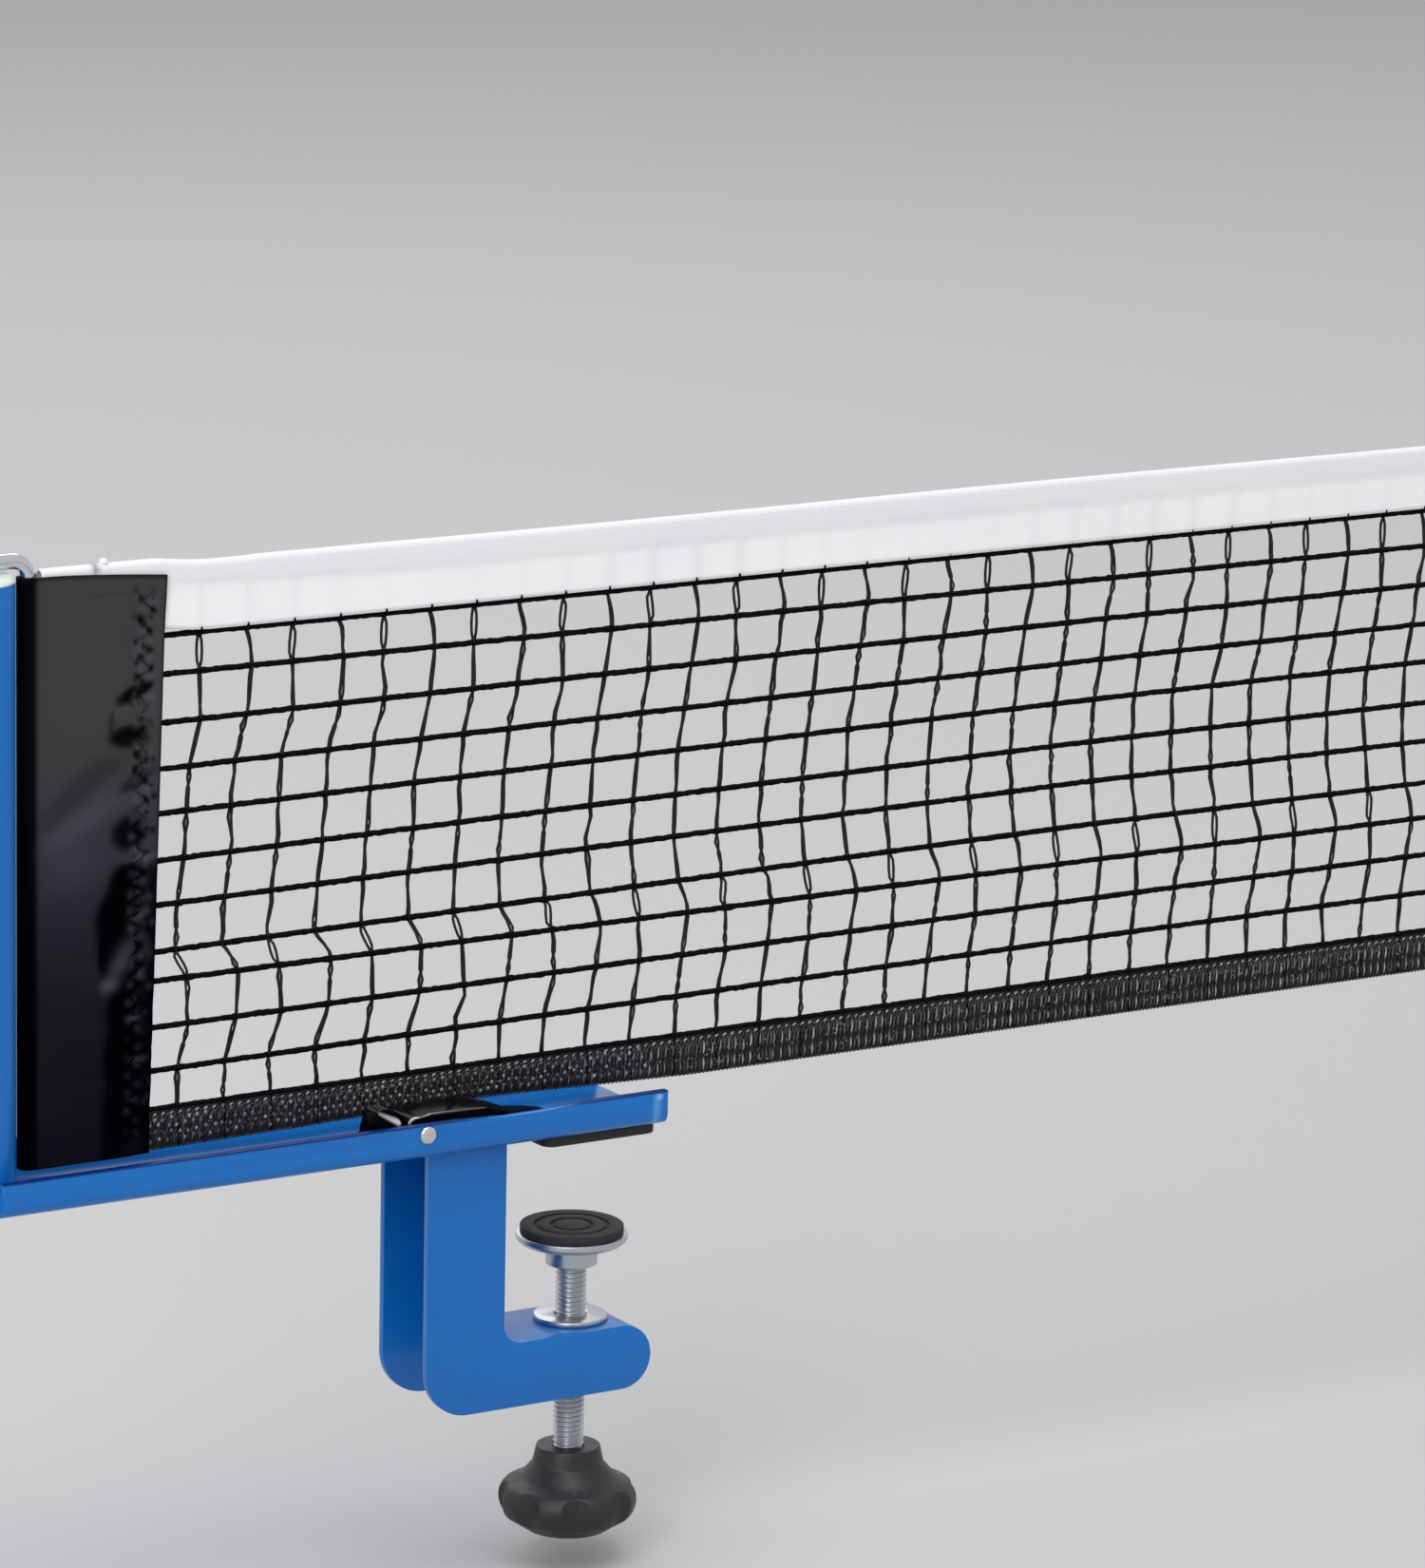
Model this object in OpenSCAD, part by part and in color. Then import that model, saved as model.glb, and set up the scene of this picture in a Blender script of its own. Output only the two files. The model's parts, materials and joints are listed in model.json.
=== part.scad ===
// Table tennis net and post set: two screw clamps that grip a table's side
// edges and the full-width net that hangs between their posts.
// Millimetres, +Z up. z = 0 is the table's top face, the net stands in the
// plane y = 0 and runs along +X from the left clamp to the right clamp.
// The origin is the centre of the left clamp's upper jaw pad, where it lies
// on the table.
//
// Every clamp piece is drawn once, in a clamp frame whose x is the distance
// in from the table's side edge (negative is outside the table), and is then
// placed for the left side or mirrored for the right side.

/* [Table] */
// Width of the table between its side edges
table_w = 1525; // [1500:5:1550]
// Thickness of the table top that the jaws are set to
table_t = 25; // [18:1:30]

/* [Net] */
// Height of the net's top edge over the table
net_top = 152.5; // [150:0.5:155]
// Height of the net's lower edge over the table
net_low = 9.5; // [9:0.5:11]
// Height of the white top tape
tape_h = 17.3; // [14:0.1:19]
// Height of the knitted bottom ribbon
ribbon_h = 10.6; // [8:0.1:14]
// Thickness of the netting
mesh_t = 1.4; // [1:0.1:1.8]
// Width of the sleeve at its top
sleeve_w = 38; // [34:1:48]

/* [Post and rod] */
// How far the post's outer face stands outside the table's edge
overhang = 152.5; // [150:0.5:155]
// Outer diameter of the post tube
post_d = 18; // [16:0.5:20]
// Wall of the post tube
post_wall = 1.5; // [1:0.1:2]
// Diameter of the net rod
rod_d = 3.8; // [3.5:0.1:4.2]
// Height of the height-lock thumbscrew
lock_z = 120; // [100:1:130]

/* [Clamp] */
// How far the jaws reach in over the table
reach = 36.4; // [32:0.2:44]
// Outer width of the channel arm
arm_w = 36; // [32:1:40]
// Sheet thickness of the arm and the bracket
sheet = 2; // [1.5:0.1:2.5]
// Height of the arm's flanges over its underside
arm_h = 8.8; // [8:0.1:10]
// Thickness of the upper jaw pad
pad_t = 3; // [2:0.1:3.5]
// Outer width of the clamp bracket
bracket_w = 24; // [20:1:28]
// Outside diameter of the clamp screw
screw_d = 8; // [7:0.5:9]
// Diameter of the screw's knob
knob_d = 35; // [30:1:42]
// Diameter of the lower jaw's foot
foot_d = 28; // [22:1:30]

/* [Hidden] */
$fn = 64;
jaw_x = 20;                          // jaw centre, in from the table's edge
arm_z = pad_t;                       // underside of the arm
floor_z = arm_z + sheet;             // upper face of the arm's floor
flange_z = arm_z + arm_h;            // top of the flanges
arm_y = arm_w / 2;
bend_r = 3;                          // outer bend radius of pressed sheet
post_r = post_d / 2;
post_x = post_r - overhang;          // post axis
post_top = net_top - 0.5;
rod_r = rod_d / 2;
rod_x = post_x + 13;               // axis of the rod's inner leg
rod_z = net_top + 3.7;               // axis of the rod's top run
rod_bend = 4;                        // bend radius of the rod's axis
rod_low = 60;                        // lower end of the outer leg
sleeve_x0 = rod_x - rod_r - 0.75;    // sleeve's outer edge
sleeve_x1 = sleeve_x0 + sleeve_w;    // sleeve's inner edge at the top
slot_x = rod_x + rod_r + 0.8;        // where the sleeve's slot begins
mesh_z0 = net_low + ribbon_h + 0.1;
mesh_z1 = net_top - tape_h - 0.1;
cord_r = 0.9;
foot_z = -table_t;                   // top of the lower pad
leg_z = foot_z - 24.5;               // top of the bracket's lower leg
leg_h = 16.5;
spine_x0 = -28;
spine_x1 = -6;
boss_r = 7.5;
screw_r = screw_d / 2;
pivot_x = -31.7;                     // cord lever's pivot
pivot_z = floor_z + 4.1;
lock_r = 2.45;
x_left = -jaw_x;
x_right = table_w - jaw_x;

blue = [0.07, 0.36, 0.74];
black = [0.05, 0.05, 0.055];
chrome = [0.82, 0.83, 0.85];
zinc = [0.62, 0.64, 0.66];
rubber = [0.09, 0.09, 0.1];
vinyl = [0.12, 0.12, 0.14];
white = [0.93, 0.94, 0.95];

// ---- placing ----
module left() { translate([x_left, 0, 0]) children(); }
module right() { translate([x_right, 0, 0]) mirror([1, 0, 0]) children(); }

// ---- helpers ----
// Solid from an outline in the clamp's side view (x, z), from y0 to y1
module side(y0, y1) {
  translate([0, y1, 0]) rotate([90, 0, 0]) linear_extrude(y1 - y0) children();
}
// Solid from an outline across the net (y, z), from x0 to x1
module along(x0, x1) {
  translate([x0, 0, 0]) rotate([90, 0, 90]) linear_extrude(x1 - x0) children();
}
// Round bar along X
module bar_x(x0, x1, r) { translate([x0, 0, 0]) rotate([0, 90, 0]) cylinder(r = r, h = x1 - x0); }
// Round bar along Y
module bar_y(y0, y1, r) { translate([0, y0, 0]) rotate([-90, 0, 0]) cylinder(r = r, h = y1 - y0); }
// Upright round bar
module bar_z(z0, z1, r) { translate([0, 0, z0]) cylinder(r = r, h = z1 - z0); }
// Square with true round corners
module round_box(w, d, r) {
  square([w - 2 * r, d], center = true);
  square([w, d - 2 * r], center = true);
  for (i = [-1, 1], j = [-1, 1]) translate([i * (w / 2 - r), j * (d / 2 - r)]) circle(r);
}

// ---- clamp arm: pressed channel with its flanges up ----
module channel(h, grow) {
  r = bend_r - grow;
  translate([-(arm_y - bend_r), arm_z + grow]) square([2 * (arm_y - bend_r), h]);
  translate([-(arm_y - grow), arm_z + bend_r]) square([2 * (arm_y - grow), h - bend_r + grow]);
  for (i = [-1, 1]) translate([i * (arm_y - bend_r), arm_z + bend_r]) circle(r);
}
module arm() {
  color(blue) difference() {
    intersection() {
      along(post_x - 20, reach) difference() {
        channel(arm_h, 0);
        channel(arm_h + 4, sheet);
      }
      // plan: a round end about the post, flanges that stop beside it
      translate([0, 0, arm_z - 1]) linear_extrude(arm_h + 2) union() {
        translate([post_x - 2, -arm_y]) square([reach - post_x + 2, arm_w]);
        translate([post_x, 0]) circle(post_r + 5);
      }
    }
    for (x = [-22, -12]) translate([x, 0, 0]) bar_z(arm_z - 1, floor_z + 1, 2.02);
    translate([pivot_x, 0, pivot_z]) bar_y(-arm_y - 1, -arm_y + sheet + 1, 1.52);
    // finger dip in the front flange beside the lever's tail
    side(-arm_y - 1, -arm_y + sheet + 0.5) polygon([[-24, flange_z + 1], [-24, flange_z], [-16, flange_z - 0.5],
      [-10, flange_z - 0.8], [0, flange_z - 0.8], [7, flange_z - 0.4], [15, flange_z], [15, flange_z + 1]]);
    // drain and rivet slot in the floor near the post
    translate([post_x + 34, 0, arm_z - 1]) linear_extrude(sheet + 2) union() {
      square([14, 7], center = true);
      for (i = [-7, 7]) translate([i, 0]) circle(3.5);
    }
  }
}

// ---- clamp bracket: pressed C with two cheeks and a web on its throat side ----
module c_outline() {
  translate([spine_x0, leg_z - leg_h + 12]) square([spine_x1 - spine_x0, arm_z - leg_z + leg_h - 12]);
  translate([spine_x0 + 12, leg_z - leg_h]) square([reach - leg_h / 2 - spine_x0 - 12, leg_h]);
  translate([spine_x0 + 12, leg_z - leg_h + 12]) circle(12);
  translate([reach - leg_h / 2, leg_z - leg_h / 2]) circle(leg_h / 2);
  // throat fillet
  translate([spine_x1, leg_z]) difference() { square(5); translate([5, 5]) circle(5); }
}
module c_web() {
  translate([spine_x1 - sheet, leg_z + 5]) square([sheet, arm_z - leg_z - 5]);
  translate([spine_x1 + 5, leg_z - sheet]) square([reach - leg_h / 2 - spine_x1 - 5, sheet]);
  intersection() {
    translate([spine_x1 + 5, leg_z + 5]) difference() { circle(5 + sheet); circle(5); }
    translate([spine_x1 - sheet, leg_z - sheet]) square(5 + sheet);
  }
  translate([reach - leg_h / 2, leg_z - leg_h / 2]) intersection() {
    difference() { circle(leg_h / 2); circle(leg_h / 2 - sheet); }
    translate([0, -leg_h]) square([leg_h, 2 * leg_h]);
  }
  translate([spine_x0, arm_z - sheet]) square([spine_x1 - spine_x0, sheet]);
}
module bracket() {
  color(blue) difference() {
    union() {
      side(-bracket_w / 2, bracket_w / 2) c_web();
      side(-bracket_w / 2, -bracket_w / 2 + sheet) c_outline();
      side(bracket_w / 2 - sheet, bracket_w / 2) c_outline();
    }
    translate([jaw_x, 0, 0]) bar_z(leg_z - leg_h - 1, leg_z + 1, boss_r + 0.02);
    for (x = [-22, -12]) translate([x, 0, 0]) bar_z(arm_z - sheet - 1, arm_z + 1, 2.02);
  }
}
module rivets() {
  color(zinc) for (x = [-22, -12]) translate([x, 0, 0]) rotate_extrude() polygon(concat(
    [[0, arm_z - sheet - 1.4], [2.6, arm_z - sheet - 1.4], [3.6, arm_z - sheet - 0.8], [3.6, arm_z - sheet],
     [2, arm_z - sheet], [2, floor_z]],
    [for (a = [0:15:90]) [3.8 * cos(a), floor_z + 1.5 * sin(a)]]));
}
module table_pad() {
  color(rubber) translate([jaw_x, 0, 0]) difference() {
    linear_extrude(pad_t) round_box(min(32, 2 * (reach - jaw_x) - 0.8), 28, 3);
    for (i = [-9, -3, 3, 9]) translate([i - 0.5, -10, -1]) cube([1, 20, 1.6]);
  }
}

// ---- clamp screw and lower jaw ----
module screw_nut() {
  color(zinc) translate([jaw_x, 0, 0]) difference() {
    union() {
      bar_z(leg_z - leg_h, leg_z, boss_r);
      bar_z(leg_z, leg_z + 1.4, boss_r + 1.8);
    }
    bar_z(leg_z - leg_h - 1, leg_z + 2, screw_r);
  }
}
module clamp_screw() {
  color(zinc) translate([jaw_x, 0, 0]) {
    bar_z(foot_z - 11, foot_z - 5.6, 3);
    bar_z(foot_z - 75, foot_z - 10.3, screw_r - 0.05);
  }
}
module clamp_knob() {
  top = foot_z - 57.5;
  color(black) translate([jaw_x, 0, 0]) difference() {
    rotate_extrude() polygon(concat(
      [[0, top - 21.5], [knob_d / 2 - 7, top - 21.5]],
      [for (a = [-80:20:80]) [knob_d / 2 - 3 + 3 * cos(a), top - 13.7 + (a < 0 ? 4.8 : 4.2) * sin(a)]],
      [[12, top - 8], [9, top - 4.5], [8, top], [0, top]]));
    bar_z(foot_z - 75, top + 1, screw_r - 0.03);
    for (a = [0:45:315]) rotate([0, 0, a + 22.5]) translate([knob_d / 2 + 3, 0, 0]) bar_z(top - 30, top - 6, 5.2);
  }
}
module foot() {
  color(zinc) translate([jaw_x, 0, 0]) difference() {
    rotate_extrude() polygon([[0, foot_z - 2], [foot_d / 2, foot_z - 2], [foot_d / 2, foot_z - 3.4],
      [foot_d / 2 - 1.2, foot_z - 4.5], [7.5, foot_z - 4.9], [6.5, foot_z - 6], [6.5, foot_z - 10], [0, foot_z - 10]]);
    bar_z(foot_z - 11, foot_z - 5.2, 3.06);
  }
}
module foot_pad() {
  color(rubber) translate([jaw_x, 0, 0]) difference() {
    bar_z(foot_z - 2, foot_z, foot_d / 2 - 1);
    for (r = [5, 9]) translate([0, 0, foot_z - 0.6]) difference() {
      bar_z(0, 1, r + 0.5);
      bar_z(-1, 2, r - 0.5);
    }
  }
}

// ---- post with its cap and height lock ----
module post() {
  color(blue) difference() {
    translate([post_x, 0, 0]) rotate_extrude() polygon([
      [post_r - post_wall, floor_z], [post_r + 2.2, floor_z], [post_r + 0.9, floor_z + 0.7], [post_r + 0.25, floor_z + 1.5],
      [post_r, floor_z + 2.8], [post_r, post_top], [post_r - post_wall, post_top]]);
    translate([0, 0, lock_z]) bar_x(post_x - post_r - 1, post_x - 2, 2.6);
  }
}
module post_cap() {
  color(white) translate([post_x, 0, 0]) difference() {
    rotate_extrude() polygon([[0, post_top - 9], [post_r - post_wall - 0.6, post_top - 9], [post_r - post_wall - 0.02, post_top - 8],
      [post_r - post_wall - 0.02, post_top], [post_r, post_top], [post_r, post_top + 0.6], [post_r - 1, post_top + 1.6], [0, post_top + 1.6]]);
    bar_z(post_top - 10, post_top + 3, rod_r + 0.06);
    translate([0, 0, post_top - 0.4]) cylinder(r1 = rod_r + 0.06, r2 = rod_r + 1.6, h = 2.4);
  }
}
module lock_nut() {
  color(blue) translate([0, 0, lock_z]) difference() {
    bar_x(-overhang - 5.2, -overhang + 1.2, 5.5);
    bar_x(-overhang - 6, post_x, lock_r + 0.05);
    translate([post_x, 0, -10]) cylinder(r = post_r + 0.01, h = 20);
  }
}
module lock_tip() {
  x = post_x - rod_r - 0.35;
  color(white) translate([0, 0, lock_z]) {
    bar_x(x - 1.6, x, 2.2);
    bar_x(x - 3.6, x - 1.6, 1);
  }
}
module lock_screw() {
  x = post_x - rod_r - 2.25;
  color(zinc) translate([0, 0, lock_z]) difference() {
    bar_x(-overhang - 18, x, lock_r);
    bar_x(x - 2.4, x + 1, 1.06);
  }
}
module lock_knob() {
  x = -overhang - 8.5;
  color(black) translate([0, 0, lock_z]) difference() {
    translate([x, 0, 0]) rotate([0, -90, 0]) rotate_extrude() polygon([
      [0, 0], [5, 0], [6, 1], [6, 2.5], [9.5, 3.2], [10.5, 4.2], [10.5, 11.5], [9.3, 13], [0, 13.6]]);
    bar_x(-overhang - 18, x + 1, lock_r + 0.02);
    for (a = [0:30:330]) rotate([a, 0, 0]) translate([0, 0, 11.4]) bar_x(x - 15, x - 2.8, 1.7);
  }
}

// ---- net rod: round bar bent to an inverted U ----
module net_rod() {
  color(chrome) {
    translate([post_x, 0, 0]) bar_z(rod_low, rod_z - rod_bend, rod_r);
    translate([rod_x, 0, 0]) bar_z(net_low + 3.5, rod_z - rod_bend, rod_r);
    translate([0, 0, rod_z]) bar_x(post_x + rod_bend, rod_x - rod_bend, rod_r);
    translate([post_x + rod_bend, 0, rod_z - rod_bend]) rotate([90, 0, 0]) rotate([0, 0, 90])
      rotate_extrude(angle = 90) translate([rod_bend, 0]) circle(rod_r);
    translate([rod_x - rod_bend, 0, rod_z - rod_bend]) rotate([90, 0, 0])
      rotate_extrude(angle = 90) translate([rod_bend, 0]) circle(rod_r);
  }
}
module rod_shoe() {
  color(black) translate([post_x, 0, 0]) difference() {
    bar_z(rod_low - 2, rod_low + 10, post_r - post_wall - 0.08);
    bar_z(rod_low, rod_low + 11, rod_r + 0.02);
    for (a = [0:90:270]) rotate([0, 0, a]) translate([post_r - 0.4, 0, 0]) bar_z(rod_low - 3, rod_low + 11, 2.2);
  }
}

// ---- sleeve: black vinyl folded round the rod, open along its inner edge ----
module sleeve() {
  color(vinyl) intersection() {
    translate([0, 0, net_low]) linear_extrude(net_top) difference() {
      union() {
        translate([rod_x, 0]) circle(rod_r + 0.75);
        translate([rod_x, -rod_r - 0.7]) square([sleeve_w, 2 * rod_r + 1.4]);
      }
      translate([rod_x, 0]) circle(rod_r + 0.05);
      translate([slot_x, -1.9]) square([sleeve_w + 5, 3.8]);
    }
    side(-10, 10) polygon([[sleeve_x0 - 2, net_low], [sleeve_x1 - 4.2, net_low], [sleeve_x1, net_top - 2.4],
      [rod_x + 3, net_top - 0.3], [sleeve_x0 - 2, net_top - 0.3]]);
  }
}
module cord_knot() {
  color(white) translate([rod_x + 19.8, 0, net_top]) rotate_extrude() polygon([
    [0, 0], [1.1, 0], [1.2, 0.4], [0.8, 0.8], [1.15, 1.3], [1.0, 2.0], [0.5, 2.4], [0, 2.5]]);
}

// ---- cleat and lever that hold the net's lower edge ----
module cleat() {
  color(black) difference() {
    union() {
      side(-arm_y + sheet + 1, -arm_y + sheet + 5.5) polygon([[-46.6, floor_z], [-46.6, floor_z + 6.2], [-45.8, floor_z + 8.8], [-44.4, floor_z + 10.6],
        [-42.8, floor_z + 11.2], [-41.2, floor_z + 11.1], [-39.8, floor_z + 10.1], [-37.9, floor_z + 7.8], [-37.2, floor_z + 6.2], [-37.1, floor_z]]);
      side(-arm_y + sheet + 1, -3) polygon([[-46.6, floor_z], [-46.6, floor_z + 2.2], [-37.1, floor_z + 2.2], [-37.1, floor_z]]);
      side(-4.6, -3) polygon([[-43, floor_z], [-43, floor_z + 2.5], [-39.5, floor_z + 5.2], [-33.6, floor_z + 7.1], [-29.6, floor_z + 6.9], [-27.2, floor_z + 4.6], [-27, floor_z]]);
    }
    translate([pivot_x, 0, pivot_z]) bar_y(-6, 0, 1.52);
  }
}
module cleat_lever() {
  color(black) difference() {
    side(-arm_y + sheet + 1, -5) polygon(concat(
      [for (a = [262:-12:94]) let (r = 3.8 + 1.1 * max(0, 1 - abs(a - 132) / 38)) [pivot_x + r * cos(a), pivot_z + r * sin(a)]],
      [[-29.5, floor_z + 8.5], [-26, floor_z + 8.6], [-20, floor_z + 8.5], [-14, floor_z + 8.1],
        [-9, floor_z + 6.9], [-4, floor_z + 4.9], [2.1, floor_z + 4.2], [6.6, floor_z + 3.4], [7.6, floor_z + 2.8], [7.6, floor_z + 2],
        [6.6, floor_z + 1.4], [-4, floor_z + 1.2], [-20, floor_z + 1], [-28, floor_z + 0.5]]));
    translate([pivot_x, 0, pivot_z]) bar_y(-arm_y, 0, 1.56);
  }
}
module lever_pin() {
  color(chrome) translate([pivot_x, 0, pivot_z]) {
    bar_y(-arm_y, -3, 1.5);
    translate([0, -arm_y, 0]) rotate([90, 0, 0]) rotate_extrude() polygon(concat([[0, 0]], [for (a = [0:15:90]) [2.3 * cos(a), 1.1 * sin(a)]]));
    bar_y(-3, -2.4, 2.1);
  }
}

// ---- the net ----
module net_mesh() {
  color(black) translate([0, 0, mesh_z0])
    along(x_left + sleeve_x1 - 11, x_right - sleeve_x1 + 11) translate([-mesh_t / 2, 0]) square([mesh_t, mesh_z1 - mesh_z0]);
}
module top_tape() {
  color(white) along(x_left + slot_x + 0.4, x_right - slot_x - 0.4) difference() {
    union() {
      translate([-1.1, net_top - tape_h]) square([2.2, tape_h - 5]);
      translate([-1.6, net_top - 5.6]) square([3.2, 4]);
      translate([0, net_top - 1.6]) circle(1.6);
    }
    translate([0, net_top - 3]) circle(cord_r + 0.04);
  }
}
module top_cord() {
  color(white) translate([0, 0, net_top - 3]) bar_x(x_left + slot_x + 0.4, x_right - slot_x - 0.4, cord_r);
}
module bottom_ribbon() {
  color(black) along(x_left + slot_x + 0.4, x_right - slot_x - 0.4) union() {
    translate([-1, net_low + 1]) square([2, ribbon_h - 2]);
    for (z = [net_low + 1, net_low + ribbon_h - 1]) translate([0, z]) circle(1);
  }
}

net_mesh();
top_tape();
bottom_ribbon();
top_cord();
left() arm();  // left_arm
left() bracket();  // left_bracket
left() rivets();  // left_rivets
left() table_pad();  // left_table_pad
left() screw_nut();  // left_screw_nut
left() clamp_screw();  // left_clamp_screw
left() clamp_knob();  // left_clamp_knob
left() foot();  // left_foot
left() foot_pad();  // left_foot_pad
left() post();  // left_post
left() post_cap();  // left_post_cap
left() lock_nut();  // left_lock_nut
left() lock_screw();  // left_lock_screw
left() lock_knob();  // left_lock_knob
left() lock_tip();  // left_lock_tip
left() net_rod();  // left_net_rod
left() rod_shoe();  // left_rod_shoe
left() sleeve();  // left_sleeve
left() cord_knot();  // left_cord_knot
left() cleat();  // left_cleat
left() cleat_lever();  // left_cleat_lever
left() lever_pin();  // left_lever_pin
right() arm();  // right_arm
right() bracket();  // right_bracket
right() rivets();  // right_rivets
right() table_pad();  // right_table_pad
right() screw_nut();  // right_screw_nut
right() clamp_screw();  // right_clamp_screw
right() clamp_knob();  // right_clamp_knob
right() foot();  // right_foot
right() foot_pad();  // right_foot_pad
right() post();  // right_post
right() post_cap();  // right_post_cap
right() lock_nut();  // right_lock_nut
right() lock_screw();  // right_lock_screw
right() lock_knob();  // right_lock_knob
right() lock_tip();  // right_lock_tip
right() net_rod();  // right_net_rod
right() rod_shoe();  // right_rod_shoe
right() sleeve();  // right_sleeve
right() cord_knot();  // right_cord_knot
right() cleat();  // right_cleat
right() cleat_lever();  // right_cleat_lever
right() lever_pin();  // right_lever_pin
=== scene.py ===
"""The looks of a table tennis net and post set: two blue screw clamps with posts, and the full net between them.

Millimetres are used while the pieces are worked out, and metres in the scene. u is the distance along the net
from the left rod's outer side, and everything on the right half is the left half mirrored about the net's middle.
"""

import json
import math

import bmesh
import bpy
import numpy as np
from mathutils import Matrix, Vector


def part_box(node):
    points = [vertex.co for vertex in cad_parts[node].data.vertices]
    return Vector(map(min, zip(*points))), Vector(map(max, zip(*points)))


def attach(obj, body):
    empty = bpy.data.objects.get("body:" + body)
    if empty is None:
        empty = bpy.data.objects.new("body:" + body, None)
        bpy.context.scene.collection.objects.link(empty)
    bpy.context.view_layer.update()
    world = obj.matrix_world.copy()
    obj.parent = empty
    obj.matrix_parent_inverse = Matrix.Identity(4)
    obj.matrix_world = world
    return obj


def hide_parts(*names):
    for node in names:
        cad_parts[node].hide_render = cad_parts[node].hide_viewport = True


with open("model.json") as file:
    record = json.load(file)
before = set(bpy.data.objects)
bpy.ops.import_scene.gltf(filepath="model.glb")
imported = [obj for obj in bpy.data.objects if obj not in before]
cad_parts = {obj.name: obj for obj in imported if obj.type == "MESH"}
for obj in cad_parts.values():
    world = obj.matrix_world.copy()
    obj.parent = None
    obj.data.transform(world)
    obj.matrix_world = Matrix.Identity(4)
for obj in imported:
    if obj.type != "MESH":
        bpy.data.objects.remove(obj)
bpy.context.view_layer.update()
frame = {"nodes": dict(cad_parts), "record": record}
nodes = frame["nodes"]
body_of = {n: b for b, ns in frame["record"]["behaviour"]["bodies"].items() for n in ns}
slot_of = {s["node"]: s["material_slot"] for s in frame["record"]["subparts"]}
scene = bpy.context.scene
rng = np.random.default_rng(11)

U0 = -152.9  # x of u = 0
MIDDLE = 742.5  # x of the net's middle
U_MID = MIDDLE - U0
EYE = np.array([-854.52, -1429.29, 467.16])  # the main camera


# ---------------------------------------------------------------- materials
def srgb(r, g, b):
    """Linear colour from 0-255 screen values."""
    return tuple(
        (c / 12.92 if c <= 0.04045 else ((c + 0.055) / 1.055) ** 2.4)
        for c in (r / 255, g / 255, b / 255)
    ) + (1.0,)


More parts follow.
